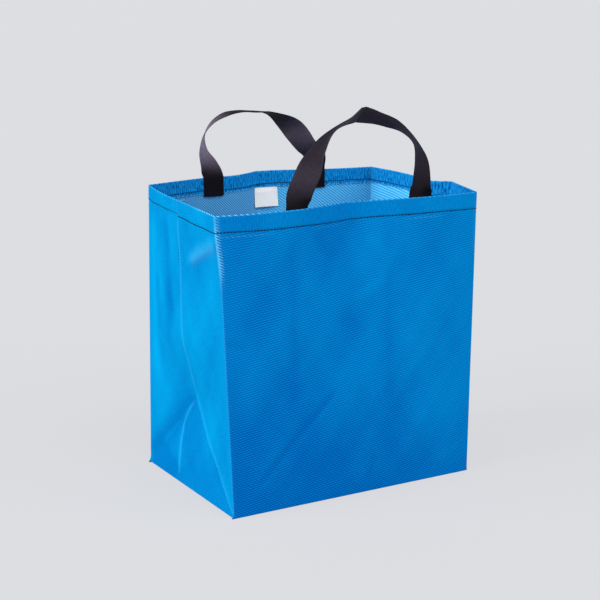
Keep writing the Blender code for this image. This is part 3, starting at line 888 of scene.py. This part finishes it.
# Place across the span (-1 and 1 are the sewn ends), share of the rise, lean to -Y or +Y, turn in degrees
FRONT_HANDLE_ROUTE = (
    (-1.00, 0.00, 0.000, -103),
    (-0.95, 0.19, 0.000, -121),
    (-0.82, 0.40, 0.001, -118),
    (-0.68, 0.57, 0.004, -83),
    (-0.52, 0.71, 0.009, -61),
    (-0.29, 0.86, 0.014, -34),
    (-0.07, 0.94, 0.018, -29),
    (0.17, 1.00, 0.020, -44),
    (0.40, 0.96, 0.017, -31),
    (0.62, 0.89, 0.013, -20),
    (0.84, 0.77, 0.009, 3),
    (0.98, 0.62, 0.005, 13),
    (1.04, 0.43, 0.003, 0),
    (1.03, 0.19, 0.001, -12),
    (1.00, 0.00, 0.000, -18),
)
BACK_HANDLE_ROUTE = (
    (-1.00, 0.00, 0.000, -99),
    (-1.04, 0.19, 0.004, -72),
    (-1.09, 0.41, 0.011, -46),
    (-1.06, 0.63, 0.013, -30),
    (-0.91, 0.82, 0.012, -16),
    (-0.68, 0.94, 0.009, -4),
    (-0.43, 0.98, 0.006, -3),
    (-0.20, 0.97, 0.003, -2),
    (0.05, 0.95, 0.002, -6),
    (0.24, 0.89, 0.001, -14),
    (0.47, 0.75, 0.000, -43),
    (0.65, 0.59, -0.001, -67),
    (0.82, 0.40, -0.001, -48),
    (1.00, 0.24, 0.000, -50),
    (1.00, 0.00, 0.000, -90),
)
STEPS_PER_STATION = 12
WEB_POINTS = 15
SEWN_ROWS = 10
SETTLE_ROWS = 10
ROOT_FULLNESS = 0.35
CROWN_CREASE_WIDTH = 0.009
PAINTED_HIGHLIGHT_ABOVE = 0.036
# How much painted highlight shows on the webbing, as (place along the handle, share); it starts above the rim
PAINTED_HIGHLIGHT_ALONG = {
    "front": ((0.0, 0.15), (0.35, 0.16), (0.6, 0.20), (0.8, 0.12), (1.0, 0.03)),
    "back": ((0.0, 1.0), (0.16, 1.0), (0.28, 0.36), (0.38, 0.02), (0.6, 0.0), (0.78, 0.38), (1.0, 0.2)),
}


def smooth_route(stations):
    """Catmull-Rom curve through the stations, which passes through every one of them."""
    rows = np.array(stations, dtype=float)
    rows = np.vstack([2 * rows[0] - rows[1], rows, 2 * rows[-1] - rows[-2]])
    t = (np.arange(STEPS_PER_STATION) / STEPS_PER_STATION)[None, :, None]
    a, b, c, d = (rows[k : len(rows) - 3 + k, None, :] for k in range(4))
    curve = 0.5 * (2 * b + (c - a) * t + (2 * a - 5 * b + 4 * c - d) * t**2 + (3 * b - a - 3 * c + d) * t**3)
    return np.vstack([curve.reshape(-1, rows.shape[1]), rows[-2]])


# %% Handle meshes
def web_section():
    """Points round the strip's section as (across, half thickness): thin at both selvedges."""
    across = 0.5 * np.sin(np.linspace(-math.pi / 2, math.pi / 2, WEB_POINTS))
    half = 0.5 * np.sqrt(np.maximum(0.0, 1 - np.abs(2 * across) ** 5))
    upper = list(zip(across, -half))
    lower = list(zip(across[-2:0:-1], half[-2:0:-1]))
    return np.array(upper + lower)


section = web_section()
web_inset = HEM_STACK + CLEARANCE + WEB_THICKNESS / 2
FACING = {"front": 1, "back": -1}


def centre_line(panel, ends, rise, rows, crease_at, crease):
    """Middle of the free webbing at each row: between the sewn ends, and up by the rise and the crease."""
    left, right = (wall_point(panel, np.array(end), np.array(BAG_HEIGHT), web_inset) for end in ends)
    centre = left + (right - left) * (rows[:, :1] + 1) / 2
    place = np.linspace(0, 1, len(rows))
    centre[:, 1] += rows[:, 2]
    centre[:, 2] = BAG_HEIGHT + rise * rows[:, 1]
    centre[:, 2] += crease * np.exp(-np.abs(place - crease_at) / CROWN_CREASE_WIDTH)
    return centre


def swept(panel, centre, turn):
    """The section at each row, across a width direction that is turned about the path from the level one."""
    path = np.gradient(centre, axis=0)
    path[0] = (0, 0, 1)
    path[-1] = (0, 0, -1)
    path /= np.linalg.norm(path, axis=1)[:, None]
    level = np.array([0.0, 1.0, 0.0]) - path[:, 1:2] * path
    level /= np.linalg.norm(level, axis=1)[:, None]
    width = np.cos(turn) * level + np.sin(turn) * np.cross(path, level)
    face = np.cross(path, width)
    across = section[:, 0][None, :, None] * WEB_WIDTH
    thick = section[:, 1][None, :, None] * WEB_THICKNESS * FACING[panel]
    return centre[:, None] + width[:, None] * across + face[:, None] * thick


def seated(panel, end, z, flip):
    """The same section laid flat against the hem at one end, at each of the heights."""
    shift = section[:, 0] * flip * FACING[panel] * WEB_WIDTH / PANEL_WIDTH[panel]
    fraction, height = np.broadcast_arrays(end + shift[None, :], np.asarray(z)[:, None])
    inset = web_inset + section[:, 1][None, :] * WEB_THICKNESS + 0 * height
    return wall_point(panel, fraction, height, inset)


def settled(panel, end, centre, free, flip):
    """Rows that leave the hem, blended from the seated to the free section, with some width given back."""
    seat_middle = wall_point(panel, end + 0 * centre[:, 2], centre[:, 2], web_inset)
    seat = seated(panel, end, centre[:, 2], flip) + (centre - seat_middle)[:, None]
    weight = (1 - smoothstep(0, SETTLE_ROWS, np.arange(SETTLE_ROWS)))[:, None, None]
    rows = free + (seat - free) * weight
    middle = rows.mean(axis=1, keepdims=True)
    spread = rows - middle
    wide = np.linalg.norm(spread[:, WEB_POINTS - 1] - spread[:, 0], axis=1)
    return middle + spread * ((WEB_WIDTH / wide) ** ROOT_FULLNESS)[:, None, None]


def handle(name, panel, ends, rise, route, crease_at, crease):
    """Webbing as rings of its section: down the hem at one end, along the free route, down at the other."""
    rows = smooth_route(route)
    centre = centre_line(panel, ends, rise, rows, crease_at, crease)
    free = swept(panel, centre, np.radians(rows[:, 3:4]))
    first = np.arange(SETTLE_ROWS)
    for end, flip, near in ((ends[0], 1, first), (ends[1], -1, len(rows) - 1 - first)):
        free[near] = settled(panel, end, centre[near], free[near], flip)
    depths = np.linspace(WEB_SEWN, 0.0015, SEWN_ROWS)
    rings = np.concatenate([
        seated(panel, ends[0], BAG_HEIGHT - depths, 1),
        free,
        seated(panel, ends[1], BAG_HEIGHT - depths[::-1], -1),
    ])
    steps = np.linalg.norm(np.diff(rings.mean(axis=1), axis=0), axis=1)
    run = np.concatenate([[0.0], np.cumsum(steps)])
    place = np.concatenate([np.zeros(SEWN_ROWS), np.linspace(0, 1, len(rows)), np.ones(SEWN_ROWS)])
    # Painted highlight along the webbing, from just above the rim
    painted_highlight = smoothstep(BAG_HEIGHT, BAG_HEIGHT + PAINTED_HIGHLIGHT_ABOVE, rings[..., 2])
    painted_highlight = painted_highlight * curve_through(PAINTED_HIGHLIGHT_ALONG[panel], place)[:, None]
    pattern = face_pattern(section[:, 0] * WEB_WIDTH, run)
    made = lofted(name, rings, {"painted_highlight": painted_highlight}, pattern, sharp_over=80)
    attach(made, "root")
    print(name, "length", round(float(run[-1]), 3))
    return made


front_handle = handle("front_webbing", "front", FRONT_HANDLE_ENDS, FRONT_HANDLE_RISE, FRONT_HANDLE_ROUTE,
                      crease_at=0.497, crease=0.0018)
back_handle = handle("back_webbing", "back", BACK_HANDLE_ENDS, BACK_HANDLE_RISE, BACK_HANDLE_ROUTE,
                     crease_at=0.570, crease=0.0003)
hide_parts("front_handle")
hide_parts("back_handle")

# %% [markdown]
# ## Handle ends
# Each end is held by a sewn box with a cross in it, in black thread through webbing and hem.

# %% Handle end stitches
BOX_HALF = 0.0105
BOX_TOP = 0.0035
BOX_BOTTOM = 0.0190
BOX_THREAD = 0.0005
BOX_PITCH = 0.0029
BOX_LENGTH = 0.0026
# Each line's two ends, as (half widths from the middle, share of the box's height down from its top)
BOX_LINES = (
    ((-1, 0), (1, 0)),
    ((1, 0), (1, 1)),
    ((1, 1), (-1, 1)),
    ((-1, 1), (-1, 0)),
    ((-1, 0), (1, 1)),
    ((1, 0), (-1, 1)),
)
face_inset = HEM_STACK + CLEARANCE + WEB_THICKNESS


def end_box(name, panel, end):
    """A box and its cross of stitches on the inner face of one webbing end."""
    made = []
    for k, ((a0, b0), (a1, b1)) in enumerate(BOX_LINES):
        t = np.linspace(0, 1, 12)
        across = (a0 + (a1 - a0) * t) * BOX_HALF
        depth = BOX_TOP + (b0 + (b1 - b0) * t) * (BOX_BOTTOM - BOX_TOP)
        fraction = end + across / PANEL_WIDTH[panel]
        path = wall_point(panel, fraction, BAG_HEIGHT - depth, face_inset + 0 * t)
        deeper = wall_point(panel, fraction, BAG_HEIGHT - depth, face_inset + 0.001 + 0 * t)
        line = stitched(f"{name}_{k}", path, deeper - path, BOX_THREAD, BOX_PITCH, BOX_LENGTH)
        made.append(line)
    return made


end_stitches = []
for panel, ends in (("front", FRONT_HANDLE_ENDS), ("back", BACK_HANDLE_ENDS)):
    for side, end in zip(("a", "b"), ends):
        end_stitches += end_box(f"{panel}_end_{side}", panel, end)
print("handle end stitch lines", len(end_stitches))

# %% [markdown]
# ## Label
# A thin bare woven label, caught under the hem's turned edge. It hangs down a little askew, and stands off
# the wall towards its lower edge.

# %% Label mesh
LABEL_THICKNESS = 0.00025
LABEL_TUCKED = 0.003
LABEL_LIFT = 0.0008
LABEL_RIPPLE = 0.0002
LABEL_SKEW = 0.0018


def label_mesh():
    """A thin stiff sheet: under the hem it follows the wall, and below it the chord between its two sides."""
    right = BACK_CREASE_AT + (LABEL_PAST_CREASE - LABEL_WIDTH) / PANEL_WIDTH["back"]
    left = BACK_CREASE_AT + LABEL_PAST_CREASE / PANEL_WIDTH["back"]
    t = np.linspace(0, 1, 16)
    z = np.linspace(hem_edge - LABEL_SHOWS, hem_edge + LABEL_TUCKED, 24)
    hang = 1 - smoothstep(hem_edge - LABEL_SHOWS, hem_edge, z)
    free = (1 - smoothstep(hem_edge - 0.006, hem_edge, z))[:, None, None]
    fraction, height = np.meshgrid(right + (left - right) * t, z)
    fraction = fraction + LABEL_SKEW / PANEL_WIDTH["back"] * t[None, :] * hang[:, None]
    lift = (LABEL_LIFT + LABEL_RIPPLE * np.sin(math.pi * 2 * t))[None, :] * hang[:, None]
    lift = CLOTH + CLEARANCE + lift
    sides = [wall_point("back", fraction[:, k], z, lift[:, k]) for k in (0, -1)]
    chord = sides[0][:, None] + (sides[1] - sides[0])[:, None] * t[None, :, None]
    on_wall = wall_point("back", fraction, height, lift)
    near = on_wall + (chord - on_wall) * free
    far = near + wall_point("back", fraction, height, lift + LABEL_THICKNESS) - on_wall
    rings = np.concatenate([near, far[:, ::-1]], axis=1)
    u = np.concatenate([t, t[::-1]]) * LABEL_WIDTH
    made = lofted("woven_label", rings, pattern=face_pattern(u, z))
    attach(made, "root")
    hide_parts("label")
    return made


label = label_mesh()

# %% [markdown]
# ## Materials
# Every material is built from nodes on the piece's own pattern map, in metres, so the weave follows the cloth
# round its folds. Small helpers keep each recipe to a few lines.


# %% Node helpers
def feed(tree, node, inputs):
    """Give each named input of a node a plain value, or the output of another node."""
    for key, value in inputs.items():
        if isinstance(value, bpy.types.NodeSocket):
            tree.links.new(value, node.inputs[key])
        else:
            node.inputs[key].default_value = value


def add(tree, kind, inputs=None, **settings):
    """A new node with its settings and its inputs."""
    made = tree.nodes.new(kind)
    for key, value in settings.items():
        setattr(made, key, value)
    feed(tree, made, inputs or {})
    return made


def calc(tree, operation, *values):
    """The result of a Math node; MULTIPLY_ADD gives the first value times the second, plus the third."""
    return add(tree, "ShaderNodeMath", dict(enumerate(values)), operation=operation).outputs[0]


def blend(tree, factor, a, b):
    """Colour a where the factor is 0 and colour b where it is 1."""
    return add(tree, "ShaderNodeMix", {0: factor, 6: a, 7: b}, data_type="RGBA").outputs[2]


def bump(tree, height, strength, distance):
    """The surface direction, tilted by a height pattern."""
    inputs = {"Height": height, "Strength": strength, "Distance": distance}
    return add(tree, "ShaderNodeBump", inputs).outputs[0]


def value_of(tree, name):
    """The per-point value that the mesh carries under this name."""
    return add(tree, "ShaderNodeAttribute", attribute_name=name).outputs["Fac"]


def object_place(tree):
    """Where the shaded point is, in metres from the object's origin."""
    return add(tree, "ShaderNodeTexCoord").outputs["Object"]


def noise(tree, scale, detail=2.0):
    """Soft noise from 0 to 1 over the object, with about one lump per 1 / scale metres."""
    inputs = {"Vector": object_place(tree), "Scale": scale, "Detail": detail}
    return add(tree, "ShaderNodeTexNoise", inputs).outputs["Fac"]


def new_material(name):
    """A material with its node tree and its Principled shader."""
    made = bpy.data.materials.new(name)
    made.use_nodes = True
    return made, made.node_tree, made.node_tree.nodes["Principled BSDF"]


def stripes(tree, coordinate, period):
    """A sine wave of the coordinate, from 0 to 1, that repeats at the period."""
    phase = calc(tree, "MULTIPLY", coordinate, 2 * math.pi / period)
    return calc(tree, "MULTIPLY_ADD", calc(tree, "SINE", phase), 0.5, 0.5)


def weave_axes(tree):
    """The two places of the piece's pattern map, in metres along the piece's own weave."""
    place = add(tree, "ShaderNodeUVMap", uv_map="weave").outputs[0]
    split = add(tree, "ShaderNodeSeparateXYZ", {"Vector": place})
    return split.outputs[0], split.outputs[1]


# %% [markdown]
# ### Blue cloth
# Flat coated tapes are woven into fine slanting ribs. Outside they are a strong, nearly matt blue. Inside,
# the back of the weave is paler and the ribs stand out more. On the doubled hem the ribs give way to an
# upright grain, and on the worn folds the coating has cracked in pale slanting ticks. The same pale ticks
# paint highlights on the raised side folds and the rim, and painted light and shade vary the blues.

# %% Blue cloth
RIB_PERIOD = 0.0025
INSIDE_PERIOD = 0.0024
BEAD_PERIOD = 0.0042
TICK_PERIOD = 0.0030
STREAK_PERIOD = 0.0027
BLUE_DEEP = (0.0003, 0.080, 0.355, 1)
BLUE_LIT = (0.0010, 0.228, 0.560, 1)
# Painted light: the side walls, which face the key light, take paler and greener blues
SIDE_WALL_PAINTED_LIGHT_DEEP = (0.0004, 0.130, 0.370, 1)
SIDE_WALL_PAINTED_LIGHT_BLUE = (0.0012, 0.300, 0.580, 1)
# Painted shade: the turned edge inside the hem is the same coated face, given darker blues over its upright
# grain
TURNED_SHADED_DEEP = (0.0004, 0.060, 0.240, 1)
TURNED_SHADED_PALE = (0.0080, 0.280, 0.670, 1)
INSIDE_GAP = (0.024, 0.155, 0.380, 1)
INSIDE_RIB = (0.120, 0.400, 0.670, 1)
# Painted light: paler blues for the inside walls that the key light reaches
PAINTED_LIT_GAP = (0.012, 0.370, 0.760, 1)
PAINTED_LIT_RIB = (0.165, 0.640, 0.960, 1)
# The pale of the cracked coating, also used for the painted highlights on the side folds and the rim
PALE_CRACKS_AND_HIGHLIGHT = (0.210, 0.620, 0.880, 1)


def outer_weave(tree, along, across):
    """Ribs that wander a little, broken into slanting beads: 0 in the gaps and about 1 on a bead."""
    wander = calc(tree, "MULTIPLY", noise(tree, 60.0), 0.0012)
    rib = stripes(tree, calc(tree, "ADD", across, wander), RIB_PERIOD)
    bead = stripes(tree, calc(tree, "MULTIPLY_ADD", across, 0.8, along), BEAD_PERIOD)
    return calc(tree, "MULTIPLY", rib, calc(tree, "MULTIPLY_ADD", bead, 0.5, 0.62))


def inner_weave(tree, along, across):
    """The back of the weave: sharper ribs with fainter beads."""
    rib = calc(tree, "POWER", stripes(tree, across, INSIDE_PERIOD), 1.2)
    bead = stripes(tree, along, INSIDE_PERIOD)
    return calc(tree, "MULTIPLY", rib, calc(tree, "MULTIPLY_ADD", bead, 0.4, 0.7))


def hem_grain(tree, around, height, inner):
    """Upright streaks of the doubled hem: noise that is drawn out in height, with regular stripes over it."""
    drawn_out = calc(tree, "MULTIPLY", height, 0.22)
    upright = add(tree, "ShaderNodeCombineXYZ", {0: around, 1: drawn_out, 2: inner})
    streaks = {"Vector": upright.outputs[0], "Scale": 780.0, "Detail": 1.0}
    grain = add(tree, "ShaderNodeTexNoise", streaks).outputs["Fac"]
    grain = calc(tree, "MULTIPLY_ADD", calc(tree, "SUBTRACT", grain, 0.5), 2.2, 0.33)
    return calc(tree, "MULTIPLY_ADD", stripes(tree, around, STREAK_PERIOD), 0.34, grain)


def outside_blue(tree, weave, pattern, grain):
    """Deep to lit blue by pattern, patches, and painted light and shade, with painted shade on the turned
    edge and painted light on the side walls.
    """
    painted_shading = value_of(tree, "tone")
    turned = value_of(tree, "turned")
    tone = calc(tree, "MULTIPLY_ADD", pattern, 0.75, calc(tree, "MULTIPLY", noise(tree, 28.0, 3.0), 0.2))
    # Painted light and shade from the tone values, over the pattern and patches
    tone = calc(tree, "MULTIPLY_ADD", calc(tree, "SUBTRACT", painted_shading, 0.5), 0.60, calc(tree, "ADD", tone, 0.1))
    face = blend(tree, tone, BLUE_DEEP, BLUE_LIT)
    # Painted shade on the turned edge, over its grain
    face = blend(tree, turned, face, blend(tree, grain, TURNED_SHADED_DEEP, TURNED_SHADED_PALE))
    fleck = calc(tree, "MULTIPLY_ADD", noise(tree, 300.0, 3.0), 0.5, -0.25)
    blotch = calc(tree, "ADD", painted_shading, calc(tree, "ADD", fleck, calc(tree, "MULTIPLY_ADD", weave, 0.6, -0.24)))
    # Painted light on the side walls, left off the turned edge
    flank = calc(tree, "MULTIPLY", value_of(tree, "flank"), calc(tree, "SUBTRACT", 1.0, turned))
    painted_lit_side_blue = blend(tree, blotch, SIDE_WALL_PAINTED_LIGHT_DEEP, SIDE_WALL_PAINTED_LIGHT_BLUE)
    return blend(tree, calc(tree, "MULTIPLY", flank, 0.8), face, painted_lit_side_blue)


def inside_blue(tree, weave):
    """The pale ribs of the weave's back over its gaps, in a shaded and a brightly lit pair of blues."""
    shaded = blend(tree, weave, INSIDE_GAP, INSIDE_RIB)
    return blend(tree, value_of(tree, "bright"), shaded, blend(tree, weave, PAINTED_LIT_GAP, PAINTED_LIT_RIB))


def cracks_and_highlight(tree, around, height, speckle):
    """Slanting ticks, broken up by specks, over the worn places and the painted highlights, with a trace of
    pale between them.
    """
    tick = stripes(tree, calc(tree, "MULTIPLY_ADD", around, 0.5, height), TICK_PERIOD)
    broken = calc(tree, "MULTIPLY_ADD", tick, 3.6, calc(tree, "MULTIPLY_ADD", speckle, 0.8, -2.5))
    broken = add(tree, "ShaderNodeClamp", {0: broken}).outputs[0]
    return calc(tree, "MULTIPLY", value_of(tree, "wear"), calc(tree, "MULTIPLY_ADD", broken, 0.80, 0.04))


def blue_cloth():
    """Outside and inside blues, pale cracks and painted highlights over both, and the ribs and specks as
    relief.
    """
    made, tree, shader = new_material("blue_cloth")
    along, across = weave_axes(tree)
    inner = value_of(tree, "inner")
    around = value_of(tree, "around")
    height = add(tree, "ShaderNodeSeparateXYZ", {"Vector": object_place(tree)}).outputs[2]
    speckle = noise(tree, 900.0, 1.0)
    weave = outer_weave(tree, along, across)
    grain = hem_grain(tree, around, height, inner)
    pattern = blend(tree, value_of(tree, "hem"), weave, calc(tree, "MULTIPLY_ADD", grain, 0.45, 0.28))
    outside = outside_blue(tree, weave, pattern, grain)
    inside = inside_blue(tree, inner_weave(tree, along, across))
    crack_and_highlight = cracks_and_highlight(tree, around, height, speckle)
    relief = calc(tree, "ADD", calc(tree, "MULTIPLY", pattern, 0.6), calc(tree, "MULTIPLY", speckle, 0.25))
    feed(tree, shader, {
        "Base Color": blend(tree, crack_and_highlight, blend(tree, inner, outside, inside), PALE_CRACKS_AND_HIGHLIGHT),
        "Roughness": 0.50,
        "Specular IOR Level": 0.0,
        "Normal": bump(tree, relief, 0.35, 0.0003),
    })
    return made


cloth_material = blue_cloth()
for piece in [bag] + fins:
    piece.data.materials.append(cloth_material)

# %% [markdown]
# ### Webbing, thread and label
# The webbing is near black with a slight violet, with fine ribs across, and a pale painted highlight with
# sheen where the light catches it.

# %% Webbing, thread and label
WEB_RIB = 0.0011
WEB_DARK = (0.0028, 0.0023, 0.0040, 1)
WEB_LIGHT = (0.0105, 0.0076, 0.0120, 1)
# Painted highlight on the webbing where the light catches it, with a sheen that follows it
WEB_PAINTED_HIGHLIGHT = (0.3600, 0.2900, 0.4200, 1)
WEB_SHEEN = 0.50
WEB_SHEEN_TINT = (0.80, 0.70, 0.85, 1)
THREAD_BLUE = (0.001, 0.007, 0.026, 1)
THREAD_BLACK = (0.006, 0.005, 0.008, 1)
LABEL_WHITE = (0.800, 0.800, 0.790, 1)
LABEL_SHADE = (0.620, 0.620, 0.615, 1)
LABEL_ROW = 0.0006
LABEL_END = 0.0005


def webbing():
    """Ribs that meet in a shallow V along the middle, dark yarn, and a pale painted highlight with its sheen.
    """
    made, tree, shader = new_material("webbing")
    across, along = weave_axes(tree)
    slant = calc(tree, "ABSOLUTE", across)
    ribs = stripes(tree, calc(tree, "MULTIPLY_ADD", slant, 0.6, along), WEB_RIB)
    ends = stripes(tree, across, WEB_RIB * 1.7)
    fuzz = noise(tree, 700.0, 2.0)
    tone = calc(tree, "MULTIPLY", calc(tree, "MULTIPLY_ADD", ribs, 0.5, 0.25), calc(tree, "ADD", fuzz, 0.3))
    painted_highlight = value_of(tree, "painted_highlight")
    yarn = blend(tree, painted_highlight, WEB_LIGHT, WEB_PAINTED_HIGHLIGHT)
    relief = calc(tree, "ADD", calc(tree, "MULTIPLY", ribs, 0.6), calc(tree, "MULTIPLY", ends, 0.4))
    feed(tree, shader, {
        "Base Color": blend(tree, tone, WEB_DARK, yarn),
        "Roughness": 0.60,
        "Specular IOR Level": 0.03,
        "Sheen Weight": calc(tree, "MULTIPLY", painted_highlight, WEB_SHEEN),
        "Sheen Roughness": 0.4,
        "Sheen Tint": WEB_SHEEN_TINT,
        "Normal": bump(tree, relief, 0.5, 0.0003),
    })
    return made


def darker(colour, share):
    """A share of a colour's brightness."""
    return tuple(value * share for value in colour[:3]) + (1,)


def thread(name, colour):
    """Spun thread: fine fibres between the colour and half of it."""
    made, tree, shader = new_material(name)
    fibre = noise(tree, 2500.0, 1.0)
    spun = blend(tree, fibre, darker(colour, 0.5), colour)
    feed(tree, shader, {"Base Color": spun, "Roughness": 0.8, "Specular IOR Level": 0.1})
    return made


def white_label():
    """A fine plain weave in two whites, raised where the yarns cross."""
    made, tree, shader = new_material("woven_white")
    across, along = weave_axes(tree)
    rows = stripes(tree, along, LABEL_ROW)
    ends = stripes(tree, across, LABEL_END)
    cells = calc(tree, "MULTIPLY_ADD", rows, 0.5, calc(tree, "MULTIPLY", ends, 0.5))
    white = blend(tree, cells, LABEL_SHADE, LABEL_WHITE)
    feed(tree, shader, {"Base Color": white, "Roughness": 0.7, "Normal": bump(tree, cells, 0.4, 0.0001)})
    return made


webbing_material = webbing()
front_handle.data.materials.append(webbing_material)
back_handle.data.materials.append(webbing_material)
navy = thread("navy_stitches", THREAD_BLUE)
black = thread("black_stitches", THREAD_BLACK)
for piece in threads:
    piece.data.materials.append(navy)
for piece in end_stitches:
    piece.data.materials.append(black)
label.data.materials.append(white_label())

# %% [markdown]
# ## Studio
# The bag stands on a wide pale floor. A soft key comes from the left and above, a weaker fill from the front,
# and an even pale sky lights the rest. The floor takes the shadow, and part of its brightness for the camera
# is its own, as on a lit table.

# %% Floor
FLOOR_SIZE = 60.0
FLOOR_COLOUR = (0.31, 0.315, 0.325, 1)
FLOOR_GLOW = (0.775, 0.785, 0.815, 1)
FLOOR_GLOW_SHARE = 0.80

floor_mesh = bpy.data.meshes.new("studio_floor")
half = FLOOR_SIZE / 2
floor_corners = [(-half, -half, 0), (half, -half, 0), (half, half, 0), (-half, half, 0)]
floor_mesh.from_pydata(floor_corners, [], [(0, 1, 2, 3)])
floor = bpy.data.objects.new("studio_floor", floor_mesh)
bpy.context.collection.objects.link(floor)


def floor_material():
    """A matt floor. For the camera, part of it is an even glow, so far and near floor are as pale."""
    made, tree, shader = new_material("pale_floor")
    tone = blend(tree, noise(tree, 3.0), darker(FLOOR_COLOUR, 0.99), FLOOR_COLOUR)
    feed(tree, shader, {"Base Color": tone, "Roughness": 0.9, "Specular IOR Level": 0.1})
    glow = add(tree, "ShaderNodeEmission", {"Color": FLOOR_GLOW, "Strength": 1.0})
    path = add(tree, "ShaderNodeLightPath").outputs
    mirrored = calc(tree, "ADD", path["Is Glossy Ray"], path["Is Transmission Ray"])
    seen = calc(tree, "MINIMUM", calc(tree, "ADD", path["Is Camera Ray"], mirrored), 1.0)
    share = calc(tree, "MULTIPLY", seen, FLOOR_GLOW_SHARE)
    mixed = add(tree, "ShaderNodeMixShader", {0: share, 1: shader.outputs[0], 2: glow.outputs[0]})
    out = next(node for node in tree.nodes if node.type == "OUTPUT_MATERIAL")
    feed(tree, out, {"Surface": mixed.outputs[0]})
    return made


floor.data.materials.append(floor_material())

# %% Lights
KEY_STRENGTH = 4.1
KEY_FROM = (-0.92, 0.06, 0.48)
KEY_SPREAD = 48
FILL_STRENGTH = 2.5
FILL_FROM = (0.35, -0.85, 0.75)
FILL_SPREAD = 60
SKY_COLOUR = (0.96, 0.98, 1.0, 1)
SKY_STRENGTH = 0.50


def aim(item, target):
    """Turn an object so that its -Z points at the target, with its X level."""
    away = np.array(item.location) - np.array(target, float)
    away /= np.linalg.norm(away)
    item.rotation_euler = (math.acos(away[2]), 0.0, math.atan2(away[0], -away[1]))


def far_light(name, strength, place, spread):
    """A far soft light: parallel rays from the place to the origin, softened by the spread in degrees."""
    light = bpy.data.lights.new(name, "SUN")
    light.energy = strength
    light.angle = math.radians(spread)
    made = bpy.data.objects.new(name, light)
    made.location = place
    bpy.context.collection.objects.link(made)
    aim(made, (0, 0, 0))


far_light("key", KEY_STRENGTH, KEY_FROM, KEY_SPREAD)
far_light("fill", FILL_STRENGTH, FILL_FROM, FILL_SPREAD)

world = bpy.data.worlds.new("sky")
world.use_nodes = True
sky = world.node_tree.nodes["Background"]
sky.inputs["Color"].default_value = SKY_COLOUR
sky.inputs["Strength"].default_value = SKY_STRENGTH
bpy.context.scene.world = world

# %% [markdown]
# ## Camera
# The camera stands to the front left, a little above the rim, with a long lens, as the photograph's lines
# of the base and rim show.

# %% Camera
CAMERA_PLACE = (-0.87562, -1.49714, 0.62622)
CAMERA_TARGET = (-0.00247, 0.01070, 0.19402)
CAMERA_LENS = 96.0

camera_data = bpy.data.cameras.new("camera")
camera_data.lens = CAMERA_LENS
camera_data.sensor_width = 36.0
camera_data.clip_end = 200.0
camera = bpy.data.objects.new("camera", camera_data)
camera.location = CAMERA_PLACE
bpy.context.collection.objects.link(camera)
aim(camera, CAMERA_TARGET)
bpy.context.scene.camera = camera
bpy.context.scene.view_settings.view_transform = "Standard"
